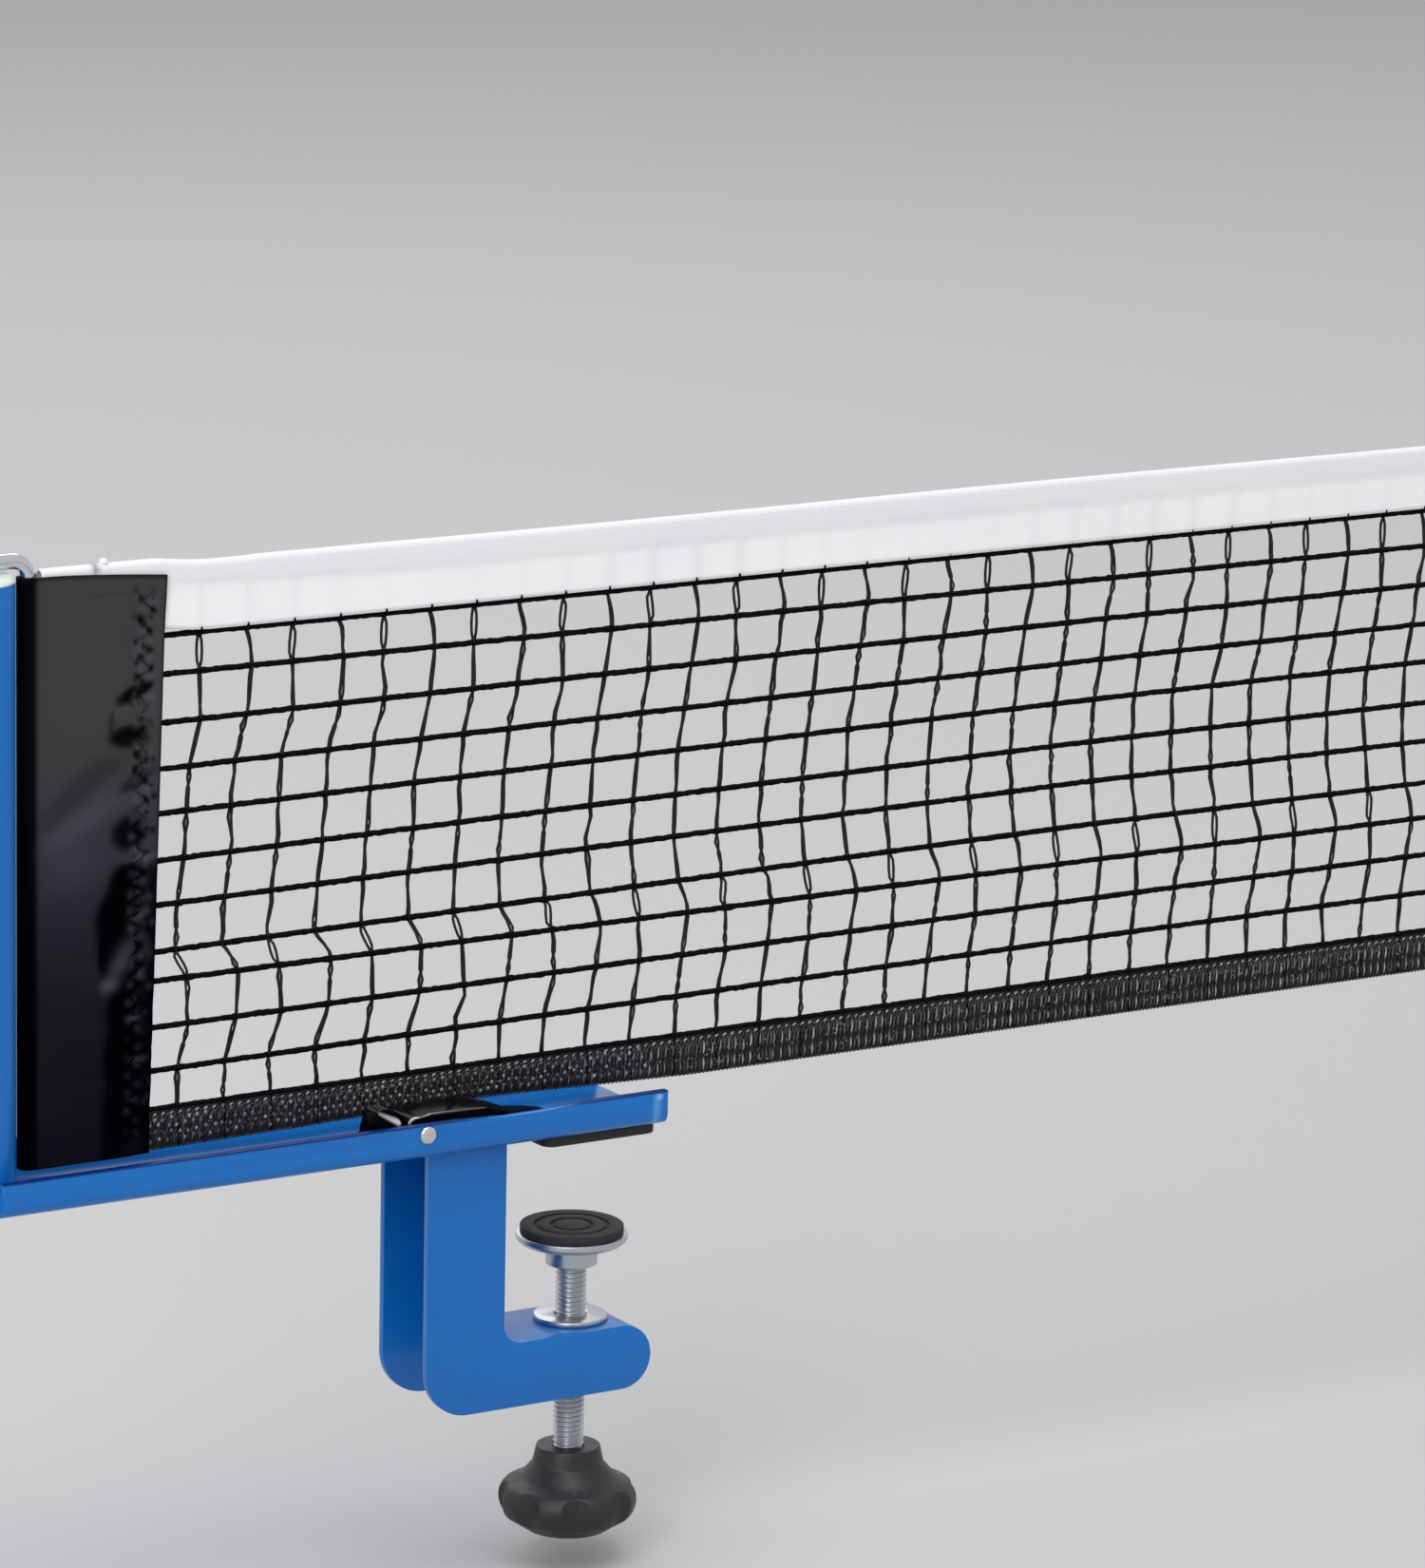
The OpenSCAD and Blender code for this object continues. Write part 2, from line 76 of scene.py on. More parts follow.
class Shader:
    """A Principled material whose extra nodes are added by short calls."""

    def __init__(self, name, color, rough, metal=0.0, coat=0.0, coat_rough=0.1, spec=0.5):
        self.mat = bpy.data.materials.new(name)
        self.mat.use_nodes = True
        self.tree = self.mat.node_tree
        self.bsdf = next(n for n in self.tree.nodes if n.type == "BSDF_PRINCIPLED")
        self.bsdf.inputs["Base Color"].default_value = color
        self.bsdf.inputs["Roughness"].default_value = rough
        self.bsdf.inputs["Metallic"].default_value = metal
        self.bsdf.inputs["Coat Weight"].default_value = coat
        self.bsdf.inputs["Coat Roughness"].default_value = coat_rough
        self.bsdf.inputs["Specular IOR Level"].default_value = spec
        self.mat.diffuse_color = color
        self.place = None

    def node(self, kind, **values):
        n = self.tree.nodes.new(kind)
        for k, v in values.items():
            if hasattr(n, k) and k not in n.inputs:
                setattr(n, k, v)
            else:
                n.inputs[k].default_value = v
        return n

    def link(self, a, b):
        self.tree.links.new(a, b)

    def where(self):
        if self.place is None:
            self.place = self.node("ShaderNodeTexCoord").outputs["Object"]
        return self.place

    def scaled(self, sx, sy, sz):
        m = self.node("ShaderNodeMapping")
        m.inputs["Scale"].default_value = (sx, sy, sz)
        self.link(self.where(), m.inputs["Vector"])
        return m.outputs["Vector"]

    def noise(self, scale, detail=2.0, rough=0.5, stretch=(1, 1, 1)):
        n = self.node("ShaderNodeTexNoise", Scale=scale, Detail=detail, Roughness=rough)
        self.link(self.scaled(*stretch), n.inputs["Vector"])
        return n.outputs["Fac"]

    def bump(self, height, strength, distance):
        b = self.node("ShaderNodeBump", Strength=strength, Distance=distance)
        self.link(height, b.inputs["Height"])
        old = [l for l in self.tree.links if l.to_socket == self.bsdf.inputs["Normal"]]
        if old:
            self.link(old[0].from_socket, b.inputs["Normal"])
        self.link(b.outputs["Normal"], self.bsdf.inputs["Normal"])

    def ramp(self, fac, *stops):
        r = self.node("ShaderNodeValToRGB")
        while len(r.color_ramp.elements) < len(stops):
            r.color_ramp.elements.new(0.5)
        for e, (at, col) in zip(r.color_ramp.elements, stops):
            e.position = at
            e.color = col if hasattr(col, "__len__") else (col, col, col, 1)
        self.link(fac, r.inputs["Fac"])
        return r.outputs["Color"]

    def wave(self, scale, direction, distortion=0.0, profile="SIN"):
        w = self.node("ShaderNodeTexWave", Scale=scale, Distortion=distortion)
        w.bands_direction = direction
        w.wave_profile = profile
        self.link(self.where(), w.inputs["Vector"])
        return w.outputs["Fac"]

    def mix(self, fac, a, b, kind="MIX"):
        m = self.node("ShaderNodeMix")
        m.data_type = "RGBA"
        m.blend_type = kind
        for socket, value in ((m.inputs[0], fac), (m.inputs[6], a), (m.inputs[7], b)):
            if hasattr(value, "is_linked") or hasattr(value, "links"):
                self.link(value, socket)
            else:
                socket.default_value = value
        return m.outputs[2]

    def math(self, op, a, b=0.0):
        m = self.node("ShaderNodeMath")
        m.operation = op
        for socket, value in ((m.inputs[0], a), (m.inputs[1], b)):
            if hasattr(value, "links"):
                self.link(value, socket)
            else:
                socket.default_value = value
        return m.outputs[0]

    def attribute(self, name):
        a = self.node("ShaderNodeAttribute")
        a.attribute_name = name
        return a.outputs["Fac"]

    def from_edge(self, middle=0.7425, edge=-0.020):
        """The point in metres with x counted in from the nearer edge of the table, so both clamps look alike."""
        split, place = self.node("ShaderNodeSeparateXYZ"), self.node("ShaderNodeCombineXYZ")
        self.link(self.where(), split.inputs[0])
        x = self.math("SUBTRACT", middle - edge, self.math("ABSOLUTE", self.math("SUBTRACT", split.outputs["X"], middle)))
        for value, name in ((x, "X"), (split.outputs["Y"], "Y"), (split.outputs["Z"], "Z")):
            self.link(value, place.inputs[name])
        return place.outputs["Vector"]

    def vector(self, op, a, b):
        m = self.node("ShaderNodeVectorMath")
        m.operation = op
        for socket, value in ((m.inputs[0], a), (m.inputs[1], b)):
            if hasattr(value, "links"):
                self.link(value, socket)
            else:
                socket.default_value = value
        return m.outputs["Value" if op in ("DOT_PRODUCT", "LENGTH") else "Vector"]

    def highlight_line(self, place, a, b, wide, strong):
        """1 on a painted highlight line from a to b, in mm, falling to 0 at its half width; both may change along it.
        """
        a, b = np.array(a, float) / 1000, np.array(b, float) / 1000
        run = b - a
        rel = self.vector("SUBTRACT", place, tuple(a))
        part = self.math("MULTIPLY", self.vector("DOT_PRODUCT", rel, tuple(run)), 1 / float(run @ run))
        part.node.use_clamp = True
        foot = self.node("ShaderNodeVectorMath")
        foot.operation = "SCALE"
        foot.inputs[0].default_value = tuple(run)
        self.link(part, foot.inputs["Scale"])
        off = self.vector("LENGTH", self.vector("SUBTRACT", rel, foot.outputs["Vector"]), (0, 0, 0))
        half = self.math("ADD", self.math("MULTIPLY", part, (wide[1] - wide[0]) / 1000), wide[0] / 1000)
        fade = self.ramp(self.math("DIVIDE", off, half), (0.25, 1.0), (1.0, 0.0))
        return self.math("MULTIPLY", fade, self.math("ADD", self.math("MULTIPLY", part, strong[1] - strong[0]), strong[0]))

    def to(self, socket, name):
        self.link(socket, self.bsdf.inputs[name])


def blue_paint(name="blue_paint", rim=None):
    """Gloss powder coat. rim is the height of the arm's flange edges; when it is given, the flange tops get a painted
    shade line, the channel's floor a lighter painted strip, and the front flange near the arm's end painted highlights.
    """
    base = srgb(0, 101, 180)
    s = Shader(name, base, 0.3, coat=0.22, coat_rough=0.08, spec=0.32)
    s.bump(s.noise(900, 1.5), 0.05, 0.0004)
    s.to(s.ramp(s.noise(60, 3), (0.3, 0.27), (0.7, 0.36)), "Roughness")
    tone = s.mix(s.noise(35, 2), base, srgb(4, 108, 190))
    if rim is not None:
        z = s.node("ShaderNodeSeparateXYZ")
        s.link(s.where(), z.inputs[0])
        place = s.from_edge()
        # Painted light: the rear strip of the channel's floor is painted a lighter blue.
        far = s.ramp(s.math("MULTIPLY", z.outputs["Y"], 50), (0.40, 0.0), (0.68, 1.0), (0.80, 1.0), (0.83, 0.0))
        tone = s.mix(far, tone, srgb(40, 142, 232))
        # Painted highlight: a pale vertical streak on the front flange near the arm's end.
        tone = s.mix(s.highlight_line(place, (33.1, -18, 4.6), (33.3, -18, 10.2), (1.6, 1.6), (0.3, 0.34)), tone, srgb(120, 196, 232))
        # Two small painted highlights beside it.
        for spot in ((33.8, -18, 10.4), (32.6, -18, 3.9)):
            tone = s.mix(s.highlight_line(place, spot, (spot[0] + 0.4, spot[1], spot[2]), (1.0, 1.0), (0.5, 0.5)), tone, srgb(170, 190, 240))
        # Painted shade: a dark line along the flange tops, with less specular and coat there.
        edge = s.ramp(s.math("MULTIPLY", z.outputs["Z"], 1 / rim), (0.945, 0.0), (0.985, 1.0))
        tone = s.mix(edge, tone, srgb(6, 40, 104))
        s.to(s.math("SUBTRACT", 0.32, s.math("MULTIPLY", edge, 0.2)), "Specular IOR Level")
        s.to(s.math("SUBTRACT", 0.22, s.math("MULTIPLY", edge, 0.18)), "Coat Weight")
    s.to(tone, "Base Color")
    return s.mat


def zinc_steel():
    s = Shader("zinc_steel", srgb(186, 190, 194), 0.34, metal=1.0)
    s.to(s.ramp(s.noise(220, 4, 0.6), (0.3, 0.26), (0.7, 0.44)), "Roughness")
    s.to(s.mix(s.noise(90, 3), srgb(176, 180, 184), srgb(200, 203, 206)), "Base Color")
    s.bump(s.noise(1800, 2), 0.04, 0.0003)
    return s.mat


def chrome_rod():
    s = Shader("chrome_rod", srgb(214, 216, 220), 0.16, metal=1.0)
    s.to(s.ramp(s.noise(150, 3), (0.3, 0.12), (0.7, 0.2)), "Roughness")
    return s.mat


def black_plastic():
    s = Shader("black_plastic", srgb(30, 30, 32), 0.46)
    s.bump(s.noise(2600, 2), 0.10, 0.0002)
    s.to(s.ramp(s.noise(140, 3), (0.3, 0.40), (0.7, 0.52)), "Roughness")
    return s.mat


def gloss_black():
    """Moulded black plastic, with painted highlights along the front edges of the cleat and the lever."""
    s = Shader("gloss_black", srgb(5, 5, 7), 0.2, spec=0.03)
    place = s.from_edge()
    painted_shading = 0.0
    # Painted highlights: pale strokes along the cleat's lobe and the lever's nose and top front edge.
    for a, b, wide, strong in (
        ((-43.6, -15, 15.3), (-38.2, -14.9, 12.4), (0.55, 1.05), (0.3, 0.95)),
        ((-35.9, -14.9, 11.6), (-34.0, -14.9, 13.0), (0.5, 0.55), (0.6, 0.75)),
        ((-34.0, -14.9, 13.0), (-29.5, -14.8, 13.5), (0.55, 0.45), (0.75, 0.42)),
        ((-29.5, -14.8, 13.5), (-14.0, -14.8, 13.1), (0.4, 0.35), (0.25, 0.1)),
    ):
        one = s.highlight_line(place, a, b, wide, strong)
        painted_shading = s.math("MAXIMUM", painted_shading, one)
    s.to(s.mix(painted_shading, srgb(5, 5, 7), srgb(226, 225, 228)), "Base Color")
    s.bump(s.noise(420, 1), 0.05, 0.0004)
    s.to(s.ramp(s.noise(260, 2), (0.35, 0.13), (0.7, 0.21)), "Roughness")
    return s.mat


def pale_plastic():
    s = Shader("pale_plastic", srgb(214, 226, 218), 0.36)
    s.bsdf.inputs["Subsurface Weight"].default_value = 0.1
    s.bsdf.inputs["Subsurface Radius"].default_value = (0.002, 0.002, 0.002)
    s.bump(s.noise(1500, 2), 0.05, 0.0002)
    return s.mat


def pad_rubber():
    s = Shader("pad_rubber", srgb(34, 34, 36), 0.78)
    s.bump(s.noise(2400, 3), 0.3, 0.0002)
    return s.mat


def black_vinyl():
    """Coated cloth: a satin face with a fine grain, with painted shade low down and in the hollows of its wrinkles, and
    painted highlights where it catches the light.
    """
    s = Shader("black_vinyl", srgb(48, 48, 50), 0.5, spec=0.3)
    z = s.node("ShaderNodeSeparateXYZ")
    s.link(s.where(), z.inputs[0])
    height = s.math("MULTIPLY", z.outputs["Z"], 1 / 0.153)
    # Painted shade: the colour darkens towards the foot; lower down the gloss drops with it.
    tone = s.ramp(
        height,
        (0.10, srgb(15, 13, 22)),
        (0.34, srgb(17, 15, 25)),
        (0.46, srgb(33, 31, 42)),
        (0.60, srgb(48, 46, 56)),
        (0.70, srgb(53, 53, 55)),
    )
    tone = s.mix(s.math("MULTIPLY", s.noise(70, 3, 0.5), 0.3), tone, srgb(36, 35, 41))
    # Painted highlights, from an attribute that the sleeve sets.
    tone = s.mix(s.attribute("painted_sheen"), tone, srgb(96, 94, 104))
    # Painted shade, from an attribute that the sleeve sets; it also takes most of the gloss away.
    painted_shade = s.attribute("painted_shade")
    s.to(s.mix(painted_shade, tone, srgb(2, 2, 5)), "Base Color")
    gloss = s.ramp(height, (0.30, 0.05), (0.48, 0.13), (0.68, 0.32))
    s.to(s.math("MULTIPLY", gloss, s.math("SUBTRACT", 1.0, s.math("MULTIPLY", painted_shade, 0.97))), "Specular IOR Level")
    s.to(s.ramp(s.noise(300, 3), (0.3, 0.46), (0.7, 0.56)), "Roughness")
    v = s.node("ShaderNodeTexVoronoi", Scale=1700.0)
    s.link(s.where(), v.inputs["Vector"])
    s.bump(v.outputs["Distance"], 0.12, 0.00025)
    s.bump(s.noise(240, 3), 0.2, 0.0006)
    return s.mat


def net_yarn():
    """The net's cords: black, closely knitted, with a bump at every stitch."""
    s = Shader("net_yarn", srgb(6, 6, 8), 0.85, spec=0.07)
    stitch = s.wave(300, "X", 2.5)
    s.bump(stitch, 0.9, 0.0003)
    s.bump(s.noise(5200, 2, 0.6), 0.4, 0.0002)
    s.to(s.mix(stitch, srgb(2, 2, 4), srgb(15, 15, 18)), "Base Color")
    return s.mat


def net_strand():
    s = Shader("net_strand", srgb(30, 30, 32), 0.8, spec=0.15)
    s.bump(s.noise(3200, 2, 0.6, (1, 1, 0.4)), 0.6, 0.0003)
    s.to(s.mix(s.noise(260, 2), srgb(14, 14, 16), srgb(50, 50, 52)), "Base Color")
    return s.mat


def net_fuzz():
    """Loose fibres that half fill the eyes of the strands."""
    s = Shader("net_fuzz", srgb(120, 120, 122), 0.9, spec=0.1)
    s.to(s.mix(s.noise(1900, 2, 0.6), srgb(84, 84, 86), srgb(156, 156, 158)), "Base Color")
    return s.mat


def knit_ground():
    s = Shader("knit_ribbon", srgb(20, 19, 22), 0.85, spec=0.15)
    s.bump(s.noise(3800, 2, 0.6), 0.6, 0.0003)
    s.to(s.mix(s.noise(1100, 3), srgb(5, 5, 7), srgb(44, 42, 47)), "Base Color")
    return s.mat


def knit_loop():
    s = Shader("knit_loop", srgb(90, 89, 94), 0.8, spec=0.25)
    s.bump(s.noise(5200, 2, 0.6), 0.5, 0.0002)
    s.to(s.mix(s.attribute("tone"), srgb(16, 16, 18), srgb(176, 175, 176)), "Base Color")
    return s.mat


def white_tape():
    """Woven cotton tape: a fine weave, the net's cords faintly dark through its lower part, a seam line, and painted
    shade on its rounded top.
    """
    s = Shader("white_tape", srgb(244, 244, 245), 0.82, spec=0.2)
    s.bsdf.inputs["Sheen Weight"].default_value = 0.1
    tone = s.mix(s.noise(46, 3, 0.5, (0.5, 1, 2)), srgb(240, 240, 242), srgb(249, 249, 249))
    tone = s.mix(s.attribute("cords_seam_and_shade"), tone, srgb(150, 151, 156))
    s.to(tone, "Base Color")
    s.bump(s.wave(760, "X"), 0.12, 0.00014)
    s.bump(s.wave(900, "Z"), 0.12, 0.00014)
    s.bump(s.noise(120, 3), 0.1, 0.0006)
    return s.mat


def white_cord():
    s = Shader("white_cord", srgb(232, 232, 232), 0.8)
    s.bump(s.noise(2500, 2), 0.5, 0.0003)
    return s.mat


MATERIALS = {
    "blue_paint": blue_paint(),
    "zinc_steel": zinc_steel(),
    "chrome_rod": chrome_rod(),
    "black_plastic": black_plastic(),
    "gloss_black": gloss_black(),
    "pale_plastic": pale_plastic(),
    "pad_rubber": pad_rubber(),
    "black_vinyl": black_vinyl(),
    "net_yarn": net_yarn(),
    "knit_ribbon": knit_ground(),
    "white_tape": white_tape(),
    "white_cord": white_cord(),
}
STRAND = net_strand()
FUZZ = net_fuzz()
ARM_BLUE = blue_paint("blue_paint_arm", 0.0118)
LOOP = knit_loop()


# ---------------------------------------------------------------- mesh helpers
def make(name, verts, faces, node, mats=None, index=None, smooth=True, stands_for=True, attributes=None):
    """A new piece from millimetre points that rides with the CAD node's body and stands for that node."""
    me = bpy.data.meshes.new(name)
    me.from_pydata((np.asarray(verts, float) / 1000).tolist(), [], faces)
    me.update()
    ob = bpy.data.objects.new(name, me)
    scene.collection.objects.link(ob)
    for m in mats or [MATERIALS[slot_of[node]]]:
        me.materials.append(m)
    if index is not None:
        me.polygons.foreach_set("material_index", np.asarray(index, np.int32))
    me.polygons.foreach_set("use_smooth", [smooth] * len(me.polygons))
    for key, values in (attributes or {}).items():
        a = me.attributes.new(key, "FLOAT", "POINT")
        a.data.foreach_set("value", np.asarray(values, np.float32))
    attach(ob, body_of[node])
    if stands_for:
        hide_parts(node)
    return ob


def tubes(paths, radius, sides, up, turn=0.0):
    """Closed round tubes along n paths of the same number of points. Returns points and faces."""
    p = np.asarray(paths, float)
    n, m, _ = p.shape
    t = np.gradient(p, axis=1)
    t /= np.linalg.norm(t, axis=2, keepdims=True) + 1e-12
    a = np.cross(t, np.broadcast_to(np.asarray(up, float), t.shape))
    a /= np.linalg.norm(a, axis=2, keepdims=True) + 1e-12
    b = np.cross(a, t)
    ang = turn + np.arange(sides) * 2 * math.pi / sides
    r = np.broadcast_to(np.asarray(radius, float), (n, m))[:, :, None, None]
    v = p[:, :, None, :] + r * (
        np.cos(ang)[None, None, :, None] * a[:, :, None, :]
        + np.sin(ang)[None, None, :, None] * b[:, :, None, :]
    )
    v = v.reshape(-1, 3)
    i = np.arange(n)[:, None, None] * (m * sides)
    j = np.arange(m - 1)[None, :, None] * sides
    k = np.arange(sides)[None, None, :]
    k2 = (k + 1) % sides
    quads = np.stack([i + j + k, i + j + sides + k, i + j + sides + k2, i + j + k2], axis=-1)
    faces = quads.reshape(-1, 4).tolist()
    for q in range(n):
        start = q * m * sides
        end = start + (m - 1) * sides
        faces.append([start + s for s in range(sides)])
        faces.append([end + s for s in reversed(range(sides))])
    return v, faces


def shell(grid, closed=True):
    """Faces of a grid of rings: grid is (rings, around, 3), closed round each ring; its ends are left open."""
    g = np.asarray(grid, float)
    m, k, _ = g.shape
    i = np.arange(m - 1)[:, None] * k
    j = np.arange(k)[None, :]
    j2 = (j + 1) % k
    quads = np.stack([i + j, i + j2, i + k + j2, i + k + j], axis=-1).reshape(-1, 4).tolist()
    return g.reshape(-1, 3), quads


def join(parts):
    """Points, faces and material numbers of several (verts, faces, number) joined."""
    vs, fs, idx, at = [], [], [], 0
    for v, f, k in parts:
        vs.append(np.asarray(v, float))
        fs += [[x + at for x in q] for q in f]
        idx += [k] * len(f)
        at += len(v)
    return np.concatenate(vs), fs, idx


def outward(ob):
    """Faces turned outward."""
    bm = bmesh.new()
    bm.from_mesh(ob.data)
    bmesh.ops.recalc_face_normals(bm, faces=bm.faces)
    bm.to_mesh(ob.data)
    bm.free()


def mirrored(v):
    w = np.array(v, float)
    w[..., 0] = 2 * MIDDLE - w[..., 0]
    return w


def flip(faces):
    return [list(reversed(f)) for f in faces]


def refined(node, width=0.4, segments=3, name=None, angle=28):
    """A copy of a CAD node with its sharp edges softly rounded, which stands for it."""
    src = nodes[node]
    bm = bmesh.new()
    bm.from_mesh(src.data)
    bmesh.ops.remove_doubles(bm, verts=bm.verts, dist=2e-6)
    bmesh.ops.dissolve_limit(
        bm, angle_limit=math.radians(0.4), verts=bm.verts, edges=bm.edges, use_dissolve_boundaries=False
    )
    me = bpy.data.meshes.new(name or node + "_finished")
    bm.to_mesh(me)
    bm.free()
    ob = bpy.data.objects.new(name or node + "_finished", me)
    scene.collection.objects.link(ob)
    me.materials.append(MATERIALS[slot_of[node]])
    b = ob.modifiers.new("edges", "BEVEL")
    b.width = width / 1000
    b.segments = segments
    b.limit_method = "ANGLE"
    b.angle_limit = math.radians(angle)
    b.harden_normals = True
    b.miter_outer = "MITER_ARC"
    b.use_clamp_overlap = True
    me.polygons.foreach_set("use_smooth", [True] * len(me.polygons))
    me.update()
    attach(ob, body_of[node])
    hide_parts(node)
    return ob


def threaded(node, axis, pitch, deep, sides):
    """A rod with a real helical thread in place of the CAD node's plain cylinder."""
    lo, hi = (np.array(v) * 1000 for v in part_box(node))
    others = [i for i in range(3) if i != axis]
    mid = (lo + hi) / 2
    radius = (hi[others[0]] - lo[others[0]]) / 2
    per_turn = 8
    turns = (hi[axis] - lo[axis]) / pitch
    rings = int(turns * per_turn) + 1
    s = np.linspace(0, 1, rings)
    ang = np.arange(sides) * 2 * math.pi / sides
    length = s[:, None] * (hi[axis] - lo[axis])
    phase = (length / pitch - ang[None, :] / (2 * math.pi)) % 1
    crest = np.clip(np.abs(phase - 0.5) * 2 * 1.25 - 0.12, 0, 1)
    ends = np.minimum(1, np.minimum(length, (hi[axis] - lo[axis]) - length) / (0.8 * deep))
    r = (radius - 0.02) - deep * np.maximum(crest, 1 - ends)
    grid = np.zeros((rings, sides, 3))
    grid[..., axis] = lo[axis] + length
    grid[..., others[0]] = mid[others[0]] + r * np.cos(ang)
    grid[..., others[1]] = mid[others[1]] + r * np.sin(ang)
    v, f = shell(grid)
    f.append(list(range(sides)))
    f.append([(rings - 1) * sides + i for i in reversed(range(sides))])
    ob = make(node + "_thread", v, f, node)
    outward(ob)
    return ob


for n, o in nodes.items():
    o.data.materials.clear()
    o.data.materials.append(MATERIALS[slot_of[n]])


# ---------------------------------------------------------------- how the net hangs
ROW_Z = np.array(
    [
        [135.1, 125.7, 114.0, 102.8, 92.0, 80.6, 69.7, 58.3, 51.2, 39.8, 29.1, 19.6],
        [135.0, 125.5, 115.0, 104.4, 94.1, 83.0, 72.5, 61.1, 51.5, 41.3, 30.9, 20.3],
    ]
)
ROW_LEAN = np.array(
    [
        [0, 0.8, 0.6, -2.6, -3.3, -3.8, -5.5, -6.2, -2.4, -2.1, -5.4, -5.3],
        [0, 0.6, -0.3, -2.0, -3.2, -4.2, -4.5, -2.9, -0.9, -1.1, -2.6, -3.5],
        [0, 0.8, 0.1, -1.7, -3.2, -3.5, -2.7, -1.3, 0.4, -0.1, -1.7, -1.7],
        [0, 0.5, 0.1, -0.8, -1.6, -1.8, -1.5, -0.9, 0.6, -0.1, -0.9, -0.9],
        [0, 0.3, 0.0, -0.3, -0.6, -0.8, -0.8, -0.7, 0.7, 0.0, -0.3, -0.3],
    ]
)
LEAN_U = np.array([47.6, 197.0, 372.0, 620.0, U_MID])
ROWS = 12
TWIN = 0.2  # half the distance between a column's two strands where they lie together
BACK = 0.55 / 0.605  # how much of the lean is the net standing back from its plane


def seen(u, z, y):
    """The point at depth y that the main camera sees at (u, z) of the net's plane."""
    u, z, y = np.broadcast_arrays(np.asarray(u, float), np.asarray(z, float), np.asarray(y, float))
    t = 1 - y / EYE[1]
    x = u + U0
    return np.stack([EYE[0] + t * (x - EYE[0]), y, EYE[2] + t * (z - EYE[2])], axis=-1)


def row_z(u, row):
    w = np.clip((np.asarray(u, float) - 40) / 265, 0, 1)
    lo, hi = (np.interp(row, np.arange(ROWS), ROW_Z[k]) for k in (0, 1))
    return lo + (hi - lo) * w


def lean(u, row):
    """Sideways shift of a row against the net's top, as the main camera sees it."""
    u = np.asarray(u, float)
    row = np.broadcast_to(np.asarray(row, float), u.shape)
    at = np.stack([np.interp(row, np.arange(ROWS), ROW_LEAN[k]) for k in range(len(LEAN_U))])
    f = np.interp(u, LEAN_U, np.arange(len(LEAN_U)))
    k = np.minimum(f.astype(int), len(LEAN_U) - 2)
    w = f - k
    w = w * w * (3 - 2 * w)
    a = np.take_along_axis(at, k[None], 0)[0]
    b = np.take_along_axis(at, k[None] + 1, 0)[0]
    return a + (b - a) * w


def sway(u):
    """Slow waves of the whole net across its plane. They die out at the sleeves and in the middle."""
    u = np.asarray(u, float)
    fade = np.clip((u - 60) / 160, 0, 1) * np.clip((U_MID - u) / 200, 0, 1)
    return fade * (0.8 * np.sin(u / 71.0) + 0.5 * np.sin(u / 29.0 + 1.3))


def depth(u, row):
    """How far the net stands back at a row. It starts from nothing at the rod."""
    u = np.asarray(u, float)
    near = np.clip((u - 3) / 34, 0, 1)
    low = np.asarray(row, float) / (ROWS - 1)
    return (-BACK * lean(u, row)) * near + sway(u) * (0.25 + 0.75 * low)


def net_point(u, row, shift=0.0):
    u = np.asarray(u, float)
    lean_now = lean(u, row)
    d = depth(u, row)
    rest = lean_now + d * 0.605 * 0  # what the camera sees is the whole lean, whatever the depth
    return seen(u + rest + shift, row_z(u, row), d)


def columns():
    """u of every column from the left sleeve to the net's middle."""
    near = 47.49 + 12.49 * np.arange(-1, 31)
    far = near[-1] + (U_MID - near[-1]) * np.arange(1, 39) / 38
    return np.concatenate([near, far])


